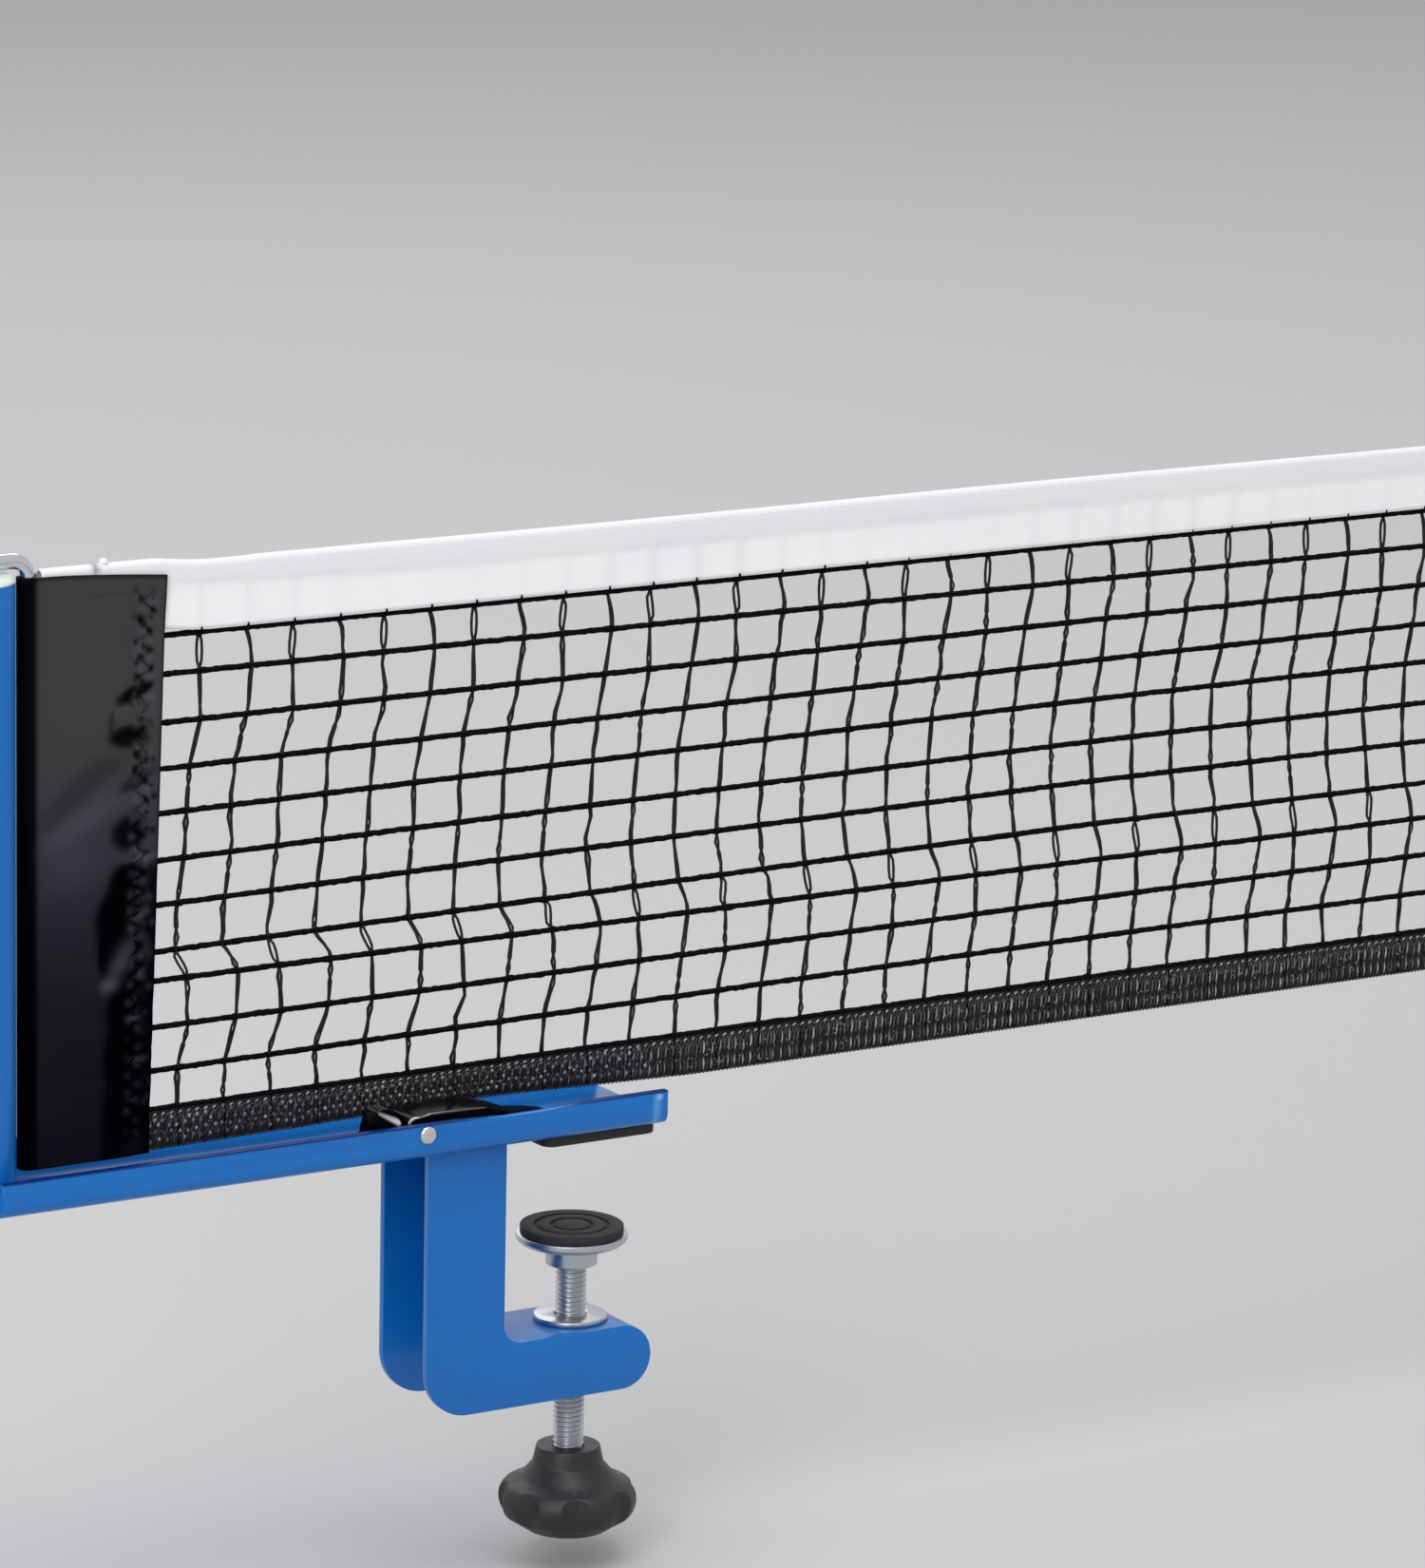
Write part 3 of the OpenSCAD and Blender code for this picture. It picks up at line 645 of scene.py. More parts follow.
# ---------------------------------------------------------------- netting
def strand_paths(u_all):
    """Both strands of every column, from the first cord to the last, as the left half has them."""
    knots = np.array([0.0, 0.25, 0.5, 0.75])
    eyes = []
    rows = np.concatenate([[r + k for k in knots] for r in range(ROWS - 1)] + [[ROWS - 1.0]])
    n = len(u_all)
    mid = np.zeros((n, len(rows), 3))
    half = np.zeros((n, len(rows)))
    even = (np.arange(n) - 1) % 2 == 0  # the first column seen beside the sleeve is an even one
    jit = rng.normal(0, 0.26, (n, ROWS))
    jit[:, 0] = 0
    jit[:, 1] = np.where(even, -0.7, 0.9)
    jit[:, 7] *= 0.6
    jit[:, 8] = jit[:, 8] * 0.6 + np.where(even, -0.5, 1.0)
    cross = np.stack([net_point(u_all, np.full(n, r), jit[:, r]) for r in range(ROWS)], axis=1)
    for r in range(ROWS - 1):
        a, b = cross[:, r], cross[:, r + 1]
        bend = rng.normal(0, 0.2, n)
        place = rng.random(n)
        high_loop = place < 0.34
        low_loop = place > 0.78
        open_by = 0.24 + 0.22 * rng.random(n)
        if r in (0, 7):
            high_loop[:] = False
            low_loop &= ~even
        for i, t in enumerate(knots):
            q = r * len(knots) + i
            mid[:, q] = a + (b - a) * t
            mid[:, q, 0] += bend * math.sin(2 * math.pi * t)
            half[:, q] = TWIN
            if r in (0, 7):
                half[:, q] += np.where(even, 0.56 * math.sin(math.pi * min(1, t * 1.06)) ** 0.6, 0.0)
                mid[:, q, 0] += np.where(even, 0, 0.45 * math.sin(math.pi * t))
            half[:, q] += np.where(high_loop, open_by * math.exp(-(((t - 0.25) / 0.17) ** 2)), 0)
            half[:, q] += np.where(low_loop, open_by * math.exp(-(((t - 0.75) / 0.17) ** 2)), 0)
        for chosen, q in ((high_loop, 1), (low_loop, 3)):
            i = np.nonzero(chosen & (open_by > 0.30))[0]
            eyes.append((i, np.full(len(i), r * len(knots) + q)))
    mid[:, -1] = cross[:, -1]
    half[:, -1] = TWIN
    for r in range(1, ROWS - 1):
        half[:, r * len(knots)] = TWIN
    twist = rng.random(n)[:, None] * 6 + rows[None, :] * 2.3
    left, right = mid.copy(), mid.copy()
    wide = half > TWIN + 0.06
    side = np.where(wide, 1.0, np.cos(twist))
    deep = np.where(wide, 0.25, np.sin(twist))
    left[:, :, 0] -= half * side
    left[:, :, 1] -= 0.22 * deep
    right[:, :, 0] += half * side
    right[:, :, 1] += 0.22 * deep
    thick = np.where(half > 0.6, 0.36, np.where(wide, 0.32, 0.42))
    i, q = (np.concatenate([e[k] for e in eyes]) for k in (0, 1))
    along = mid[i, q + 1] - mid[i, q - 1]
    inner = mid[i, q][:, None] + along[:, None] * np.array([-0.30, 0.0, 0.30])[None, :, None]
    return left, right, thick, inner


def cord_paths(fine=True):
    """The twelve cords of one half, from inside the sleeve to the middle, with every stitch where they are seen."""
    us = np.concatenate([[27.5, 31.0], 35.0 + 12.49 / 3 * np.arange(0, 94)])
    if fine:
        us = np.concatenate([us[us < 36], np.arange(36.2, 432, 1.07), us[us > 433]])
    us = us[us < U_MID - 6]
    far = np.linspace(us[-1], U_MID, max(2, int((U_MID - us[-1]) / 4.16) + 2))[1:]
    us = np.concatenate([us, far])
    cols = columns()
    gap = np.min(np.abs(us[:, None] - cols[None]), axis=1)
    at_knot = gap < (0.8 if fine else 0.6)
    close = np.gradient(us) < 2
    r2 = np.random.default_rng(21)
    paths, radii = [], []
    for r in range(ROWS):
        p = net_point(us, np.full(len(us), r))
        p[:, 2] += np.where(close, r2.normal(0, 0.045, len(us)), np.where(at_knot, 0.1, r2.normal(0, 0.07, len(us))))
        p[:, 1] += r2.normal(0, 0.05, len(us))
        paths.append(p)
        radii.append(np.where(at_knot, 0.84, 0.76) * (1 + r2.normal(0, 1, len(us)) * np.where(close, 0.055, 0.03)))
    return np.array(paths), np.array(radii)


def netting():
    u = columns()
    left, right, thick, eyes = strand_paths(u)
    l2, r2, t2, e2 = strand_paths(u[:-1])
    strands = np.concatenate([left, right, mirrored(l2), mirrored(r2)])
    thick = np.concatenate([thick, thick, t2, t2])
    v1, f1 = tubes(strands, thick, 4, (0, 1, 0), math.pi / 4)
    p, r = cord_paths()
    p2, r2 = cord_paths(False)
    whole = np.concatenate([p, mirrored(p2)[:, ::-1][:, 1:]], axis=1)
    rr = np.concatenate([r, r2[:, ::-1][:, 1:]], axis=1)
    v2, f2 = tubes(whole, rr, 5, (0, 0, 1), math.pi / 2)
    eyes = np.concatenate([eyes, mirrored(e2)])
    v3, f3 = tubes(eyes, np.array([0.10, 0.30, 0.10])[None].repeat(len(eyes), 0), 4, (0, 1, 0))
    stubs = []
    for face in (-1, 1):  # the columns' ends, which show on the tape's lower edge
        at = seen(u, 135.6, 0.0)[:, None] + np.array([[0, 0, -0.5], [0, 0, 0.5], [0, 0, 1.1]])[None]
        at[..., 1] += face * np.array([1.1, 1.42, 1.4])[None]
        stubs += [at, mirrored(at[:-1])]
    stubs = np.concatenate(stubs)
    v4, f4 = tubes(stubs, np.array([0.42, 0.36, 0.14])[None].repeat(len(stubs), 0), 4, (0, 1, 0))
    v, f, k = join([(v1, f1, 1), (v2, f2, 0), (v3, f3, 2), (v4, f4, 0)])
    ob = make("netting", v, f, "net_mesh", [MATERIALS["net_yarn"], STRAND, FUZZ], k)
    print("netting", len(v), len(f))
    return ob


# ---------------------------------------------------------------- top tape
def tape_rise(u):
    """The tape's end stands a little higher in the sleeve, where it hangs on the rod."""
    return 1.3 * (1 - np.clip((np.asarray(u, float) - 36) / 14, 0, 1)) ** 1.5


def tape():
    near = np.arange(5.5, 60, 1.0)
    mid = np.arange(60, U_MID - 1.5, 12.49 / 4)
    us = np.concatenate([near, mid, [U_MID]])
    out = [(-1.30, 135.85), (-1.36, 137), (-1.3, 139.5), (-1.28, 142), (-1.27, 144), (-1.3, 145.7), (-1.4, 146.6), (-1.56, 147.6), (-1.6, 149.0)]
    arc = [(1.62 * math.cos(a), 150.88 + 1.62 * math.sin(a)) for a in np.radians(np.arange(170, 9, -20))]
    outer = out + arc + [(-y, z) for y, z in reversed(out)]
    inner = [(y * (1 - 0.42 / abs(y)) if abs(y) > 0.5 else y, z - (0.42 if z > 151.5 else 0.15 if z > 150 else 0)) for y, z in outer]
    ring = outer + list(reversed(inner))
    ring = np.array(ring)
    cols = columns()
    grid = np.zeros((len(us), len(ring), 3))
    cords_seam_and_shade = np.zeros((len(us), len(ring)))
    for i, u in enumerate(us):
        d = np.min(np.abs(u - cols))
        ridge = math.exp(-((d / 0.9) ** 2))
        y, z = ring[:, 0].copy(), ring[:, 1].copy()
        seam = 135.2 + 17.3 * np.interp(u, [38, 110, 200], [0.74, 0.58, 0.62])
        low = np.clip((seam - z) / 1.5, 0, 1)
        y += np.sign(y) * ridge * 0.03 * low * (np.abs(y) > 1.1)
        y += np.sign(y) * 0.06 * low * (np.abs(y) > 1.1)
        z = z + tape_rise(u) + 0.18 * math.sin(u / 37.0) * (z - 135) / 17 * (u > 60)
        grid[i, :, :] = seen(np.full(len(z), u), z, np.zeros(len(z)))
        grid[i, :, 1] = y + sway(u) * 0.25
        faint = 0.6 + 0.4 * math.sin(u / 23.0)
        up = np.clip((ring[:, 1] - 147.5) / 4, 0, 1)
        # The tape's darkening: the cords faintly through its lower part, the seam line, a slightly darker upper part
        # and painted shade on the rounded top; the next line adds a dark spot under the cord knot.
        sh_u = 0.10 * faint * ridge * low + 0.08 * np.exp(-(((ring[:, 1] - seam) / 0.6) ** 2)) + 0.07 * (1 - low) + 0.17 * up
        sh_u = sh_u + 0.9 * math.exp(-(((u - 19.6) / 0.9) ** 2)) * (ring[:, 1] > 150.4)
        cords_seam_and_shade[i] = np.clip(sh_u, 0, 1)
    full = np.concatenate([grid, mirrored(grid)[::-1][1:]])
    sh = np.concatenate([cords_seam_and_shade, cords_seam_and_shade[::-1][1:]])
    v, f = shell(full)
    k = len(ring)
    h = len(outer)
    for base, turn in ((0, False), ((full.shape[0] - 1) * k, True)):
        for j in range(h - 1):
            q = [base + j, base + j + 1, base + k - 2 - j, base + k - 1 - j]
            f.append(q if turn else list(reversed(q)))
    ob = make("white_top_tape", v, f, "top_tape", attributes={"cords_seam_and_shade": sh.reshape(-1)})
    outward(ob)
    print("tape", len(v), len(f))
    return ob


# ---------------------------------------------------------------- bottom ribbon
def ribbon_z(u, t):
    """Height across the ribbon, t from 0 at its lower edge to 1 at the cord. Its lower edge lifts over the lever."""
    lift = np.interp(u, [40, 80, 100, 118, 134, 162, 190], [0.2, 0.7, 1.3, 1.8, 1.8, 0.8, 0.0])
    top = row_z(u, ROWS - 1) - 0.2
    return (9.5 + lift) + (top - 9.5 - lift) * t


def ribbon_point(u, t, y=0.0):
    u = np.asarray(u, float)
    t = np.asarray(t, float)
    back = depth(u, np.full(u.shape, ROWS - 1.0))
    out = np.interp(u, [6, 34, 70, 100, 134, 190], [0, 0, 0, 0.6, 1.6, 0.0]) * (1 - t)
    far = seen(u + lean(u, np.full(u.shape, ROWS - 1.0)), ribbon_z(u, t), back * (0.65 + 0.35 * t) + out)
    far[..., 1] += y
    return far


def ribbon():
    """The ribbon's ground, one closed band, and the knitted loops and threads on its two faces as pieces of their own."""
    us = np.concatenate([np.arange(10.5, U_MID - 2, 2.5), [U_MID]])
    ts = np.array([0, 0.03, 0.12, 0.3, 0.5, 0.7, 0.85, 0.97, 1.0])
    half = np.array([0.35, 0.62, 0.72, 0.7, 0.72, 0.7, 0.72, 0.62, 0.4])
    ring_t = np.concatenate([ts, ts[::-1]])
    ring_y = np.concatenate([-half, half[::-1]])
    grid = np.stack([ribbon_point(np.full(len(ring_t), u), ring_t, ring_y) for u in us])
    full = np.concatenate([grid, mirrored(grid)[::-1][1:]])
    v0, f0 = shell(full)
    k = len(ring_t)
    last = (full.shape[0] - 1) * k
    f0.append(list(reversed(range(k))))
    f0.append([last + j for j in range(k)])
    ground = make("knitted_ribbon", v0, f0, "bottom_ribbon")
    groups = {"front_loops": ([], []), "rear_loops": ([], []), "threads": ([], [])}

    def add(group, paths, radius, sides, tone, number=0):
        """Tubes on the left half and their mirror images, with one tone for each tube."""
        parts, tones = groups[group]
        v, f = tubes(paths, radius, sides, (0, 1, 0))
        each = np.repeat(np.broadcast_to(tone, (len(paths),)), len(v) // len(paths))
        parts.append((v, f, number))
        parts.append((mirrored(v), flip(f), number))
        tones.extend([each, each])

    for face in (-1, 1):
        loops = "front_loops" if face < 0 else "rear_loops"
        for start, wide, low, high in ((12.0, 0.26, 0.30, 1.0), (13.2, 0.22, 0.04, 0.26)):
            ribs = np.arange(start, U_MID - 1.0, 2.3)
            n = len(ribs)
            ribs = ribs + rng.normal(0, 0.12, n)
            tall = 1 + rng.normal(0, 0.05, n)
            slant = rng.normal(0.5, 0.3, n)
            t5 = np.array([0.08, 0.22, 0.43, 0.60, 0.80])  # it dips under the face once, so two short stitches show
            path = np.stack(
                [ribbon_point(ribs + slant * (t - 0.35), np.clip(np.full(n, t) * tall, 0, 1), face * out) for t, out in zip(t5, (0.66, 0.90, 0.48, 0.90, 0.66))],
                axis=1,
            )
            rad = np.array([0.4, 1.1, 0.5, 1.1, 0.4])[None] * wide * (1 + rng.normal(0, 0.1, (n, 1)))
            calm = np.interp(ribs, [40, 150, 190], [0.25, 0.32, 1.0])
            add(loops, path, rad, 4, rng.uniform(low, high, n) * calm * rng.choice([0.55, 0.8, 1.0], n))
        zig = np.arange(11.0, U_MID - 1.0, 1.15)
        up = np.where(np.arange(len(zig)) % 2, 0.63, 0.86)
        path = ribbon_point(zig, up, face * 0.76)[None]
        add("threads", path, 0.17, 4, 0.27)
        path = ribbon_point(zig, 1.52 - up, face * 0.8)[None]
        add("threads", path, 0.15, 4, 0.22)
        path = ribbon_point(zig, 1.1 - up, face * 0.86)[None]
        add("threads", path, 0.13, 4, 0.2)
        rows = np.repeat(np.arange(4), 72)  # the plain stitches over the arm, in staggered rows
        du = 12.2 + 2.3 * np.tile(np.arange(72), 4) + 1.15 * (rows % 2) + rng.normal(0, 0.16, len(rows))
        dt = np.array([0.24, 0.42, 0.60, 0.77])[rows] + rng.normal(0, 0.025, len(rows))
        path = np.stack([ribbon_point(du + a, dt + b, face * 0.84) for a, b in ((-0.14, -0.05), (0.0, 0.0), (0.14, 0.05))], axis=1)
        add(loops, path, np.array([0.24, 0.5, 0.24])[None].repeat(len(rows), 0), 4, rng.uniform(0.15, 0.75, len(rows)) * rng.choice([0.4, 1.0, 1.0], len(rows)))
        for count, low, high, dark, light in ((450, 11, 178, 0.0, 0.2), (1000, 178, U_MID - 3, 0.0, 0.5)):
            du, dt = rng.uniform(low, high, count), rng.uniform(0.1, 0.92, count)
            # Near the clamp the specks keep off the ribbon's lowest part, which stays dark as painted shade.
            dt = np.where(du < 112, 0.24 + dt * 0.74, dt)
            turn = rng.choice([-1.0, 1.0], count) * rng.uniform(0.3, 1.0, count)
            path = np.stack([ribbon_point(du + a, dt + b * turn, face * 0.84) for a, b in ((-0.28, -0.028), (0.0, 0.0), (0.28, 0.028))], axis=1)
            add(loops, path, np.array([0.14, 0.28, 0.14])[None].repeat(count, 0), 4, rng.uniform(dark, light, count))
        dash = np.arange(11.0, U_MID - 1.0, 2.3)
        m = len(dash)
        path = np.stack([ribbon_point(dash + a, np.full(m, t), face * 0.82) for a, t in ((-0.5, 0.87), (0.0, 0.90), (0.5, 0.925))], axis=1)
        add("threads", path, np.array([0.14, 0.32, 0.14])[None].repeat(m, 0), 4, rng.uniform(0.45, 1.0, m))
        lip = np.arange(11.0, U_MID - 1.0, 1.15)
        m = len(lip)
        path = np.stack([ribbon_point(lip + a, np.full(m, t), face * 0.5) for a, t in ((-0.5, 0.05), (0.0, 0.015), (0.5, 0.05))], axis=1)
        add("threads", path, np.array([0.2, 0.42, 0.2])[None].repeat(m, 0), 4, rng.uniform(0.0, 0.12, m))
        cols = columns()[:-1]
        path = np.stack([ribbon_point(cols, np.full(len(cols), t), face * 0.74) for t in np.linspace(0.06, 1.0, 6)], axis=1)
        add("threads", path, 0.24, 5, 0.0, 1)
    made = []
    for group, (parts, tones) in groups.items():
        v, f, idx = join(parts)
        made.append(make("ribbon_" + group, v, f, "bottom_ribbon", [LOOP, MATERIALS["net_yarn"]], idx, stands_for=False, attributes={"tone": np.concatenate(tones)}))
        print("ribbon", group, len(v), len(f), sum(len(q) - 2 for q in f))
    return ground, made


# ---------------------------------------------------------------- sleeves
HOLLOWS = [  # u, z, half length, half width, tilt, depth: wrinkles that run out from the stitched edge; each is dented and also darkened with painted shade
    (29.4, 122.2, 5.4, 2.0, 0.36, 1.15),
    (28.0, 112.0, 5.9, 2.9, 0.00, 1.2),
    (23.4, 115.8, 0.9, 2.8, 0.00, 0.5),
    (30.2, 101.2, 5.4, 1.7, 0.45, 0.7),
    (28.0, 88.6, 5.0, 4.5, 0.05, 1.2),
    (28.0, 77.0, 5.5, 5.0, -0.15, 1.2),
    (24.4, 68.5, 5.4, 6.4, -0.20, 1.2),
    (21.8, 59.5, 2.2, 6.0, -0.10, 0.8),
    (28.0, 45.5, 6.0, 5.0, 0.00, 1.1),
    (27.2, 34.0, 6.0, 8.0, 0.00, 1.1),
    (28.0, 20.0, 6.4, 7.0, 0.00, 0.9),
    (22.4, 146.8, 6.0, 0.4, 0.05, 0.2),
]
FOLD_Z = [8, 18, 34, 44, 49, 52, 57, 62, 69, 75, 82]  # where the painted shade of the deep folds in the lower half begins, from the bottom up
FOLD_U = [20.0, 20.6, 21.4, 21.9, 22.6, 23.0, 20.4, 19.0, 19.5, 21.6, 26.5]
SHADE_BANDS = [(12.5, 98.8, 12.0, 3.6, 0.62, 0.34), (21.5, 105.5, 7.0, 2.6, 0.3, 0.22)]  # broad soft dark folds, as painted shade only
PAINTED_SHEENS = [  # painted highlights, given the same way: lighter colour on the parts that catch the light
    (14.5, 92.5, 11.0, 3.2, 0.50, 0.20),
    (13.0, 82.0, 8.0, 6.0, 0.30, 0.10),
    (25.9, 58.0, 6.2, 2.5, 1.05, 0.40),
    (22.9, 52.2, 2.6, 2.0, 0.0, 0.34),
    (31.5, 82.3, 4.5, 1.0, 0.10, 0.42),
    (29.4, 43.3, 2.3, 1.0, 0.0, 0.42),
    (30.8, 33.0, 2.8, 1.0, 0.1, 0.38),
    (29.2, 23.4, 1.8, 0.8, 0.0, 0.28),
    (31.0, 68.5, 2.8, 1.1, 0.6, 0.36),
    (33.2, 60.0, 1.2, 3.0, 0.2, 0.22),
]


def sleeve_right(z):
    return 37.8 - (150.1 - np.asarray(z, float)) * 4.2 / 140.6


def spread(marks, u, z, power):
    """1 inside each mark, falling to 0 outside it, times the mark's own amount; the marks are joined softly."""
    left = np.ones(np.broadcast(u, z).shape)
    for u0, z0, wu, wz, tilt, amount in marks:
        a = (u - u0) * math.cos(tilt) + (z - z0) * math.sin(tilt)
        b = -(u - u0) * math.sin(tilt) + (z - z0) * math.cos(tilt)
        left = left * (1 - min(1.0, amount) * np.exp(-(((a / wu) ** 2 + (b / wz) ** 2) ** power)))
    return 1 - left


def step(x):
    return 1 / (1 + np.exp(-np.clip(x, -40, 40)))


def stitch_corners():
    """Where the zigzag thread goes through the vinyl."""
    r = np.random.default_rng(5)
    z = np.arange(13.5, 147.0, 2.25)
    z = z + r.normal(0, 0.3, len(z))
    u = sleeve_right(z) - np.where(np.arange(len(z)) % 2, 3.6, 6.5) + r.normal(0, 0.4, len(z))
    return u, z


def sleeve_face(u, z):
    """Distance of the vinyl's face from the sleeve's own middle surface, before its wrinkles."""
    flat = step((u - 28.5) / 1.1)
    open_top = step((z - 143) / 2.0)
    return 2.62 * (1 - flat) + (1.95 + 0.6 * open_top) * flat


def sleeve(side):
    node = side + "_sleeve"
    cx, r0, low = 2.4, 2.62, 9.5
    front = np.concatenate([np.linspace(1, 0.72, 30), np.linspace(0.72, 0, 36)[1:]])
    wrap = np.radians(np.linspace(-90, -270, 15))[1:-1]
    rear = front[::-2]
    if rear[-1] != 1:
        rear = np.append(rear, 1.0)
    half_n = len(front) + len(wrap) + len(rear)
    rings = 232
    w = np.linspace(0, 1, rings)[:, None]
    cu, cz = stitch_corners()
    rough = np.random.default_rng(9)
    specks_u = sleeve_right(80) - rough.uniform(0.8, 7.4, 130)
    specks_z = rough.uniform(12, 148, 130)
    specks_r = rough.uniform(0.25, 1.1, 130)
    n = len(cu)
    blots = (rough.uniform(0.75, 1.3, n), rough.uniform(0.9, 1.55, n), rough.uniform(-0.5, 0.5, n), rough.choice([0.35, 0.85, 1.0, 1.0], n))
    layers = []
    for off in (0.0, 0.62):
        cells = []
        for kind, t in (("f", front), ("r", rear)):
            t = t[None, :]
            u_right = sleeve_right(low + (150.1 - low) * w)
            u = cx + (u_right - cx) * t
            top = 152.2 - 2.1 * np.maximum(0.0, (t - 0.12) / 0.88) ** 1.4
            z = low + (top - low) * w
            open_top = step((z - 143) / 2.0)
            flat = step((u - 28.5) / 1.1)
            row = np.interp(-z, -row_z(38.0, np.arange(12.0)), np.arange(12.0))
            back = depth(np.broadcast_to(u_right, z.shape), row) * (u - cx) / (u_right - cx)
            dent = spread(HOLLOWS, u, z if kind == "f" else z + 7, 1.5) * (1.1 if kind == "f" else 0.5)
            dent = dent * step((u - 17) / 1.5)
            hole = np.zeros(z.shape)
            puff = np.zeros(z.shape)
            for a, b, wide, tall, lean_by, amount in zip(cu, cz, *blots):
                near = ((u - a + lean_by * (z - b)) / wide) ** 2 + ((z - b) / tall) ** 2
                hole = np.maximum(hole, amount * np.exp(-(near**1.9)))
            for i in range(len(cu) - 2):
                near = (u - (cu[i] * 0.35 + cu[i + 2] * 0.65)) ** 2 + (z - (cz[i] + cz[i + 2]) / 2) ** 2
                puff = np.maximum(puff, np.exp(-near / 1.3) * (0.4 + 0.6 * ((i * 7) % 5) / 4))
            for i, (a, b) in enumerate(zip(specks_u, specks_z)):
                near = (u - a) ** 2 + (z - b) ** 2
                if i % 5 < 3:
                    hole = np.maximum(hole, 0.85 * np.exp(-((near / specks_r[i]) ** 1.4)))
                else:
                    puff = np.maximum(puff, 0.9 * np.exp(-near / specks_r[i]))
            y = sleeve_face(u, z) - off
            y = y - dent * (1 - 0.75 * open_top) - 0.30 * hole + 0.12 * puff
            y = np.maximum(y, 1.35 - off * 0.6)
            s = -1 if kind == "f" else 1
            p = seen(u, z, back)
            p[..., 1] += s * y
            # Painted shade: the wrinkles' hollows, broad soft bands, the holes along the hem, the deep folds low down
            # and the strip beside the rod; the cloth is also darker along its right and top edges.
            dark = spread(HOLLOWS, u, z, 3.2)
            dark = 1 - (1 - dark * 0.96) * (1 - spread(SHADE_BANDS, u, z, 1.0)) * (1 - 0.95 * hole * step((u - u_right + 8.4) / 0.3))
            seam = step((u - u_right + 7.0) / 0.5) * step((u_right - 2.2 - u) / 0.4)
            dark = 1 - (1 - dark) * (1 - (0.9 - 0.38 * seam) * step((u - np.interp(z, FOLD_Z, FOLD_U)) / 0.5) * step((81 - z) / 0.6))
            dark = 1 - (1 - dark) * (1 - 0.97 * step((3.7 - u) / 0.25))
            dark = 1 - (1 - dark) * (1 - 0.75 * step((u - u_right + 0.45) / 0.12)) * (1 - 0.75 * step((z - top + 0.7) / 0.12))
            # Painted highlights on the listed patches and on the puffs between the stitches; they also lift the painted
            # shade there.
            light = np.maximum(spread(PAINTED_SHEENS, u, z, 1.3), np.interp(z, [20, 84, 92], [0.26, 0.36, 0.26]) * puff * step((u - u_right + 8.2) / 0.3))
            cells.append((p, np.clip(dark * (1 - 1.5 * light), 0, 1), light))
        z = low + (152.2 - low) * w
        u = cx + (r0 - off) * np.cos(wrap)[None, :]
        p = seen(u, z, 0.0)
        p[..., 1] += (r0 - off) * np.sin(wrap)[None, :]
        # The wrap round the rod is painted near black as shade.
        cells.insert(1, (p, np.full(p.shape[:2], 0.97), np.zeros(p.shape[:2])))
        sheet = [np.concatenate([c[i] for c in cells], axis=1) for i in range(3)]
        layers.append(sheet if off == 0.0 else [a[:, ::-1] for a in sheet])
    grid, hol, light = (np.concatenate([layers[0][i], layers[1][i]], axis=1) for i in range(3))
    v, f = shell(grid)
    k = grid.shape[1]
    for base, turn in ((0, False), ((grid.shape[0] - 1) * k, True)):
        for j in range(half_n - 1):
            q = [base + j, base + j + 1, base + k - 2 - j, base + k - 1 - j]
            f.append(q if turn else list(reversed(q)))
    parts = [(v, f, 0)]
    painted_shading = [hol.reshape(-1)]
    for s in (-1, 1):  # the zigzag thread, front and back, a little darker than the cloth round it
        n = len(cu)
        t = np.linspace(0, n - 1, 6 * (n - 1) + 1)
        u = np.interp(t, np.arange(n), cu)
        z = np.interp(t, np.arange(n), cz)
        u_right = sleeve_right(z)
        row = np.interp(-z, -row_z(38.0, np.arange(12.0)), np.arange(12.0))
        back = depth(u_right, row) * (u - cx) / (u_right - cx)
        dent = spread(HOLLOWS, u, z if s < 0 else z + 7, 1.5) * (1.1 if s < 0 else 0.5)
        at = np.abs(t - np.round(t))
        y = np.maximum(sleeve_face(u, z) - dent * (1 - 0.75 * step((z - 143) / 2.0)), 1.35) - 0.5 + 0.56 * np.clip(at * 2.6, 0, 1)
        p = seen(u, z, back)
        p[:, 1] += s * y
        v2, f2 = tubes(p[None], 0.2, 5, (0, 1, 0))
        parts.append((v2, f2, 0))
        # The thread's darkness: painted shade in the hollows and folds and where it goes through the cloth, over its
        # own slightly darker colour.
        deep = 1 - (1 - spread(HOLLOWS, u, z, 3.2)) * (1 - step((u - np.interp(z, FOLD_Z, FOLD_U)) / 0.5) * step((81 - z) / 0.6))
        painted_shading.append(np.repeat(np.clip(1 - (1 - deep) * (0.4 + 0.3 * np.sin(t * 1.7) ** 2) * np.clip(at * 2.6, 0.05, 1), 0, 1), 5))
    v, f, idx = join(parts)
    marks = {"painted_shade": np.concatenate(painted_shading), "painted_sheen": np.concatenate([light.reshape(-1), np.zeros(len(v) - hol.size)])}
    if side == "right":
        v, f = mirrored(v), flip(f)
    ob = make(side + "_vinyl_sleeve", v, f, node, [MATERIALS["black_vinyl"]], idx, attributes=marks)
    outward(ob)
    print(side, "sleeve", len(v), len(f))
    return ob


net = netting()
tape_ob = tape()
ribbon_ob, ribbon_loops = ribbon()
sleeves = {s: sleeve(s) for s in ("left", "right")}

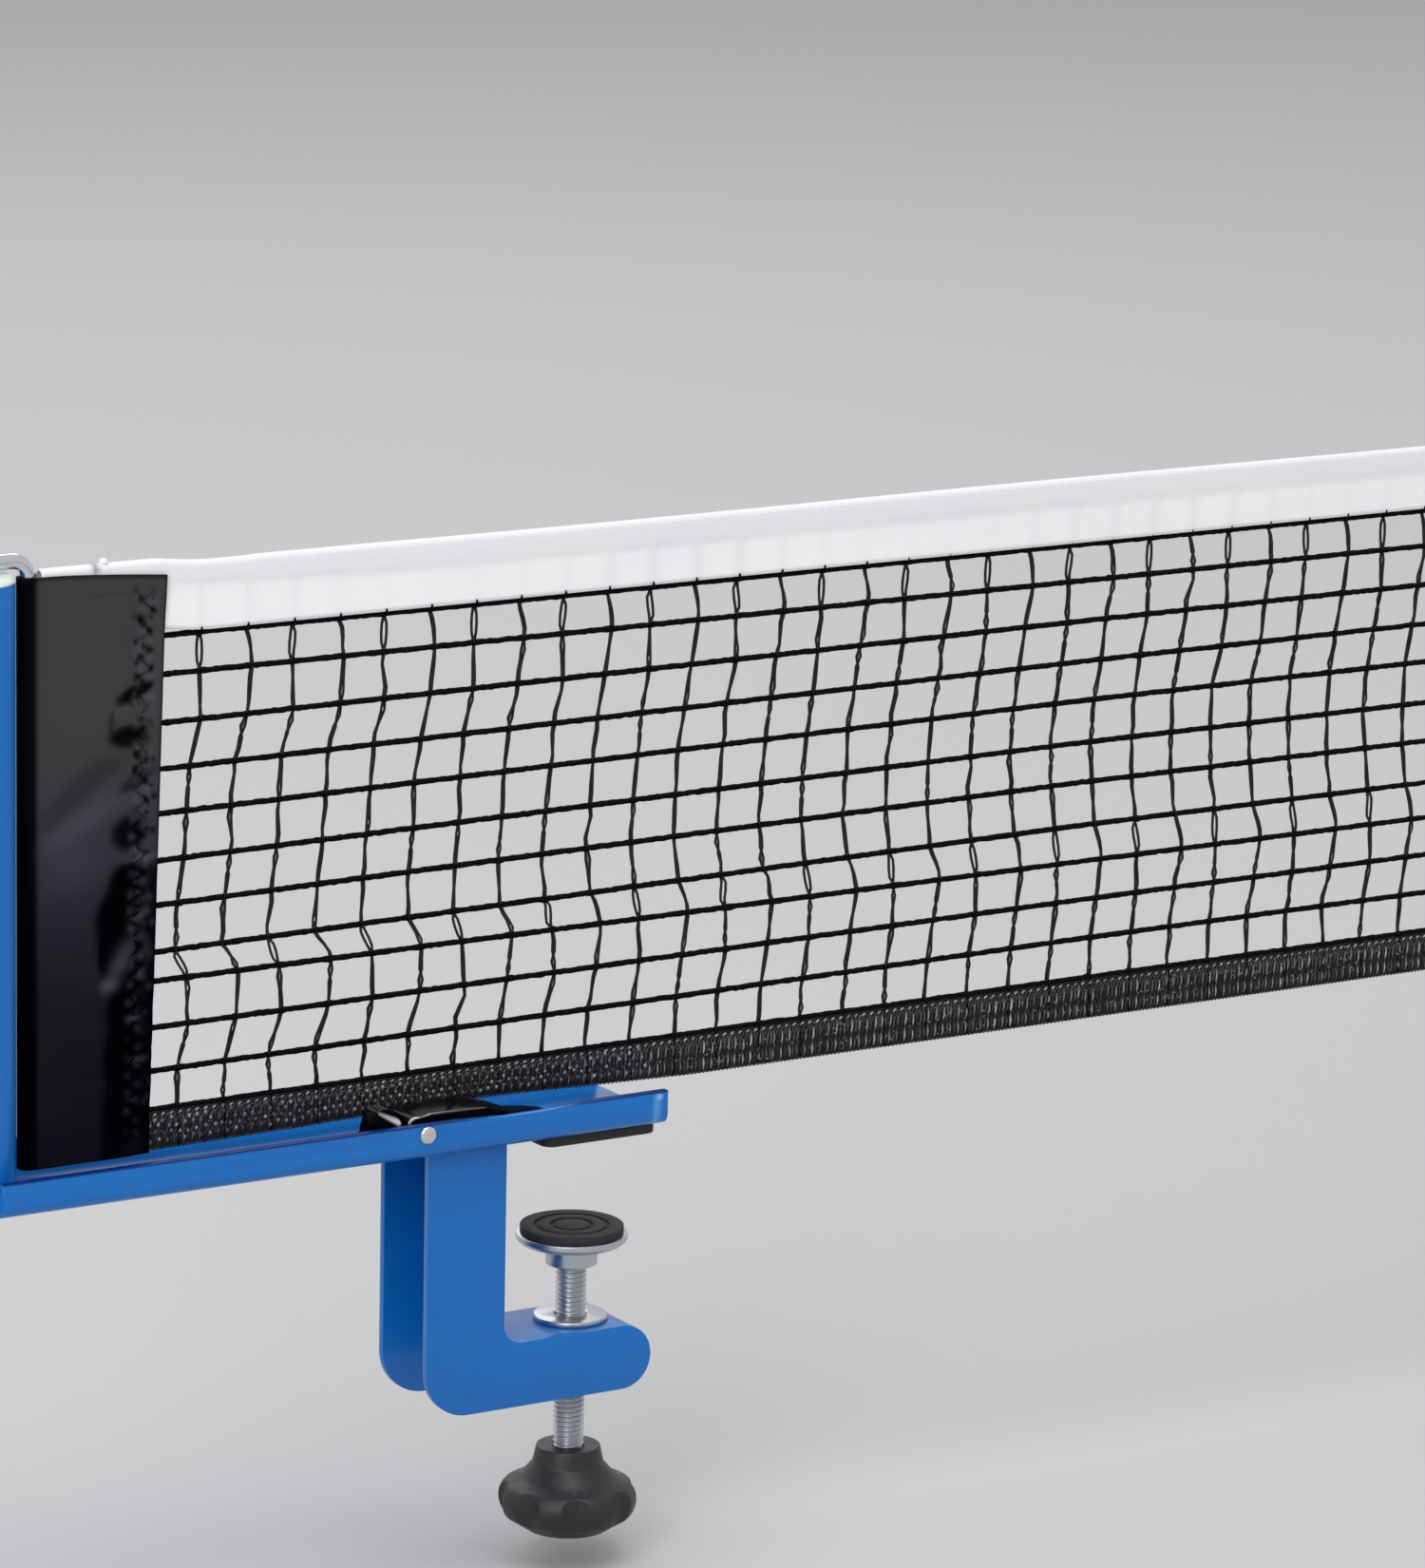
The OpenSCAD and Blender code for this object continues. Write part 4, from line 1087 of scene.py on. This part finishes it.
# ---------------------------------------------------------------- hard parts
EDGES = {
    "arm": 0.45,
    "bracket": 0.4,
    "rivets": 0.25,
    "table_pad": 0.35,
    "screw_nut": 0.35,
    "clamp_knob": 0.5,
    "foot": 0.2,
    "foot_pad": 0.25,
    "post": 0.2,
    "post_cap": 0.25,
    "lock_nut": 0.4,
    "lock_knob": 0.3,
    "lock_tip": 0.15,
    "rod_shoe": 0.3,
    "net_rod": 0.3,
    "cleat": 1.25,
    "cleat_lever": 0.95,
    "lever_pin": 0.15,
    "cord_knot": 0.1,
}
for side in ("left", "right"):
    for part, width in EDGES.items():
        ob = refined(f"{side}_{part}", width, 6 if part in ("cleat", "cleat_lever") else 3)
        if part == "arm":
            ob.data.materials[0] = ARM_BLUE
    threaded(side + "_clamp_screw", 2, 1.25, 0.72, 28)
    threaded(side + "_lock_screw", 0, 0.8, 0.45, 20)

# ---------------------------------------------------------------- stage, light, camera
floor_me = bpy.data.meshes.new("floor")
floor_me.from_pydata(
    [(-14, -14, 0), (16, -14, 0), (16, 16, 0), (-14, 16, 0)], [], [(0, 1, 2, 3)]
)
floor = bpy.data.objects.new("floor", floor_me)
floor.location = (0, 0, -0.112)
scene.collection.objects.link(floor)
paper = Shader("floor_paper", srgb(190, 190, 190), 0.9, spec=0.1)
floor_me.materials.append(paper.mat)


def area_light(name, place, aim, size, watts, color=(1, 1, 1)):
    data = bpy.data.lights.new(name, "AREA")
    data.shape = "RECTANGLE"
    data.size, data.size_y = size
    data.energy = watts
    data.color = color
    ob = bpy.data.objects.new(name, data)
    ob.location = place
    ob.rotation_mode = "QUATERNION"
    ob.rotation_quaternion = (Vector(aim) - Vector(place)).to_track_quat("-Z", "Y")
    scene.collection.objects.link(ob)
    return ob


area_light("softbox_above", (-0.5, -0.5, 2.4), (0.1, 0.1, 0), (2.2, 1.4), 30)
area_light("softbox_left", (-2.0, -1.6, 1.3), (-0.05, 0, 0.05), (1.2, 1.2), 25)
area_light("softbox_behind", (0.6, 2.2, 1.8), (0.1, 0, 0.05), (2.4, 0.9), 16)

world = bpy.data.worlds.new("studio")
scene.world = world
world.use_nodes = True
bg = next(n for n in world.node_tree.nodes if n.type == "BACKGROUND")
bg.inputs["Color"].default_value = (0.965, 0.97, 1.0, 1)
bg.inputs["Strength"].default_value = 0.68

cam_data = bpy.data.cameras.new("camera")
cam_data.sensor_width = 36
cam_data.lens = 159.57
cam_data.clip_start = 0.1
cam_data.clip_end = 60
cam = bpy.data.objects.new("camera", cam_data)
scene.collection.objects.link(cam)
right_v = Vector((0.85035804, -0.52579566, 0.02073971))
up_v = Vector((0.09955489, 0.19945983, 0.97483568))
back_v = Vector((-0.5167011, -0.82689462, 0.2219578))
cam.rotation_mode = "QUATERNION"
cam.rotation_quaternion = Matrix(
    [[right_v[i], up_v[i], back_v[i]] for i in range(3)]
).to_quaternion()
cam.location = (-0.85452, -1.42929, 0.46716)
scene.camera = cam

scene.view_settings.view_transform = "Standard"
scene.view_settings.look = "None"
scene.view_settings.exposure = 0.0
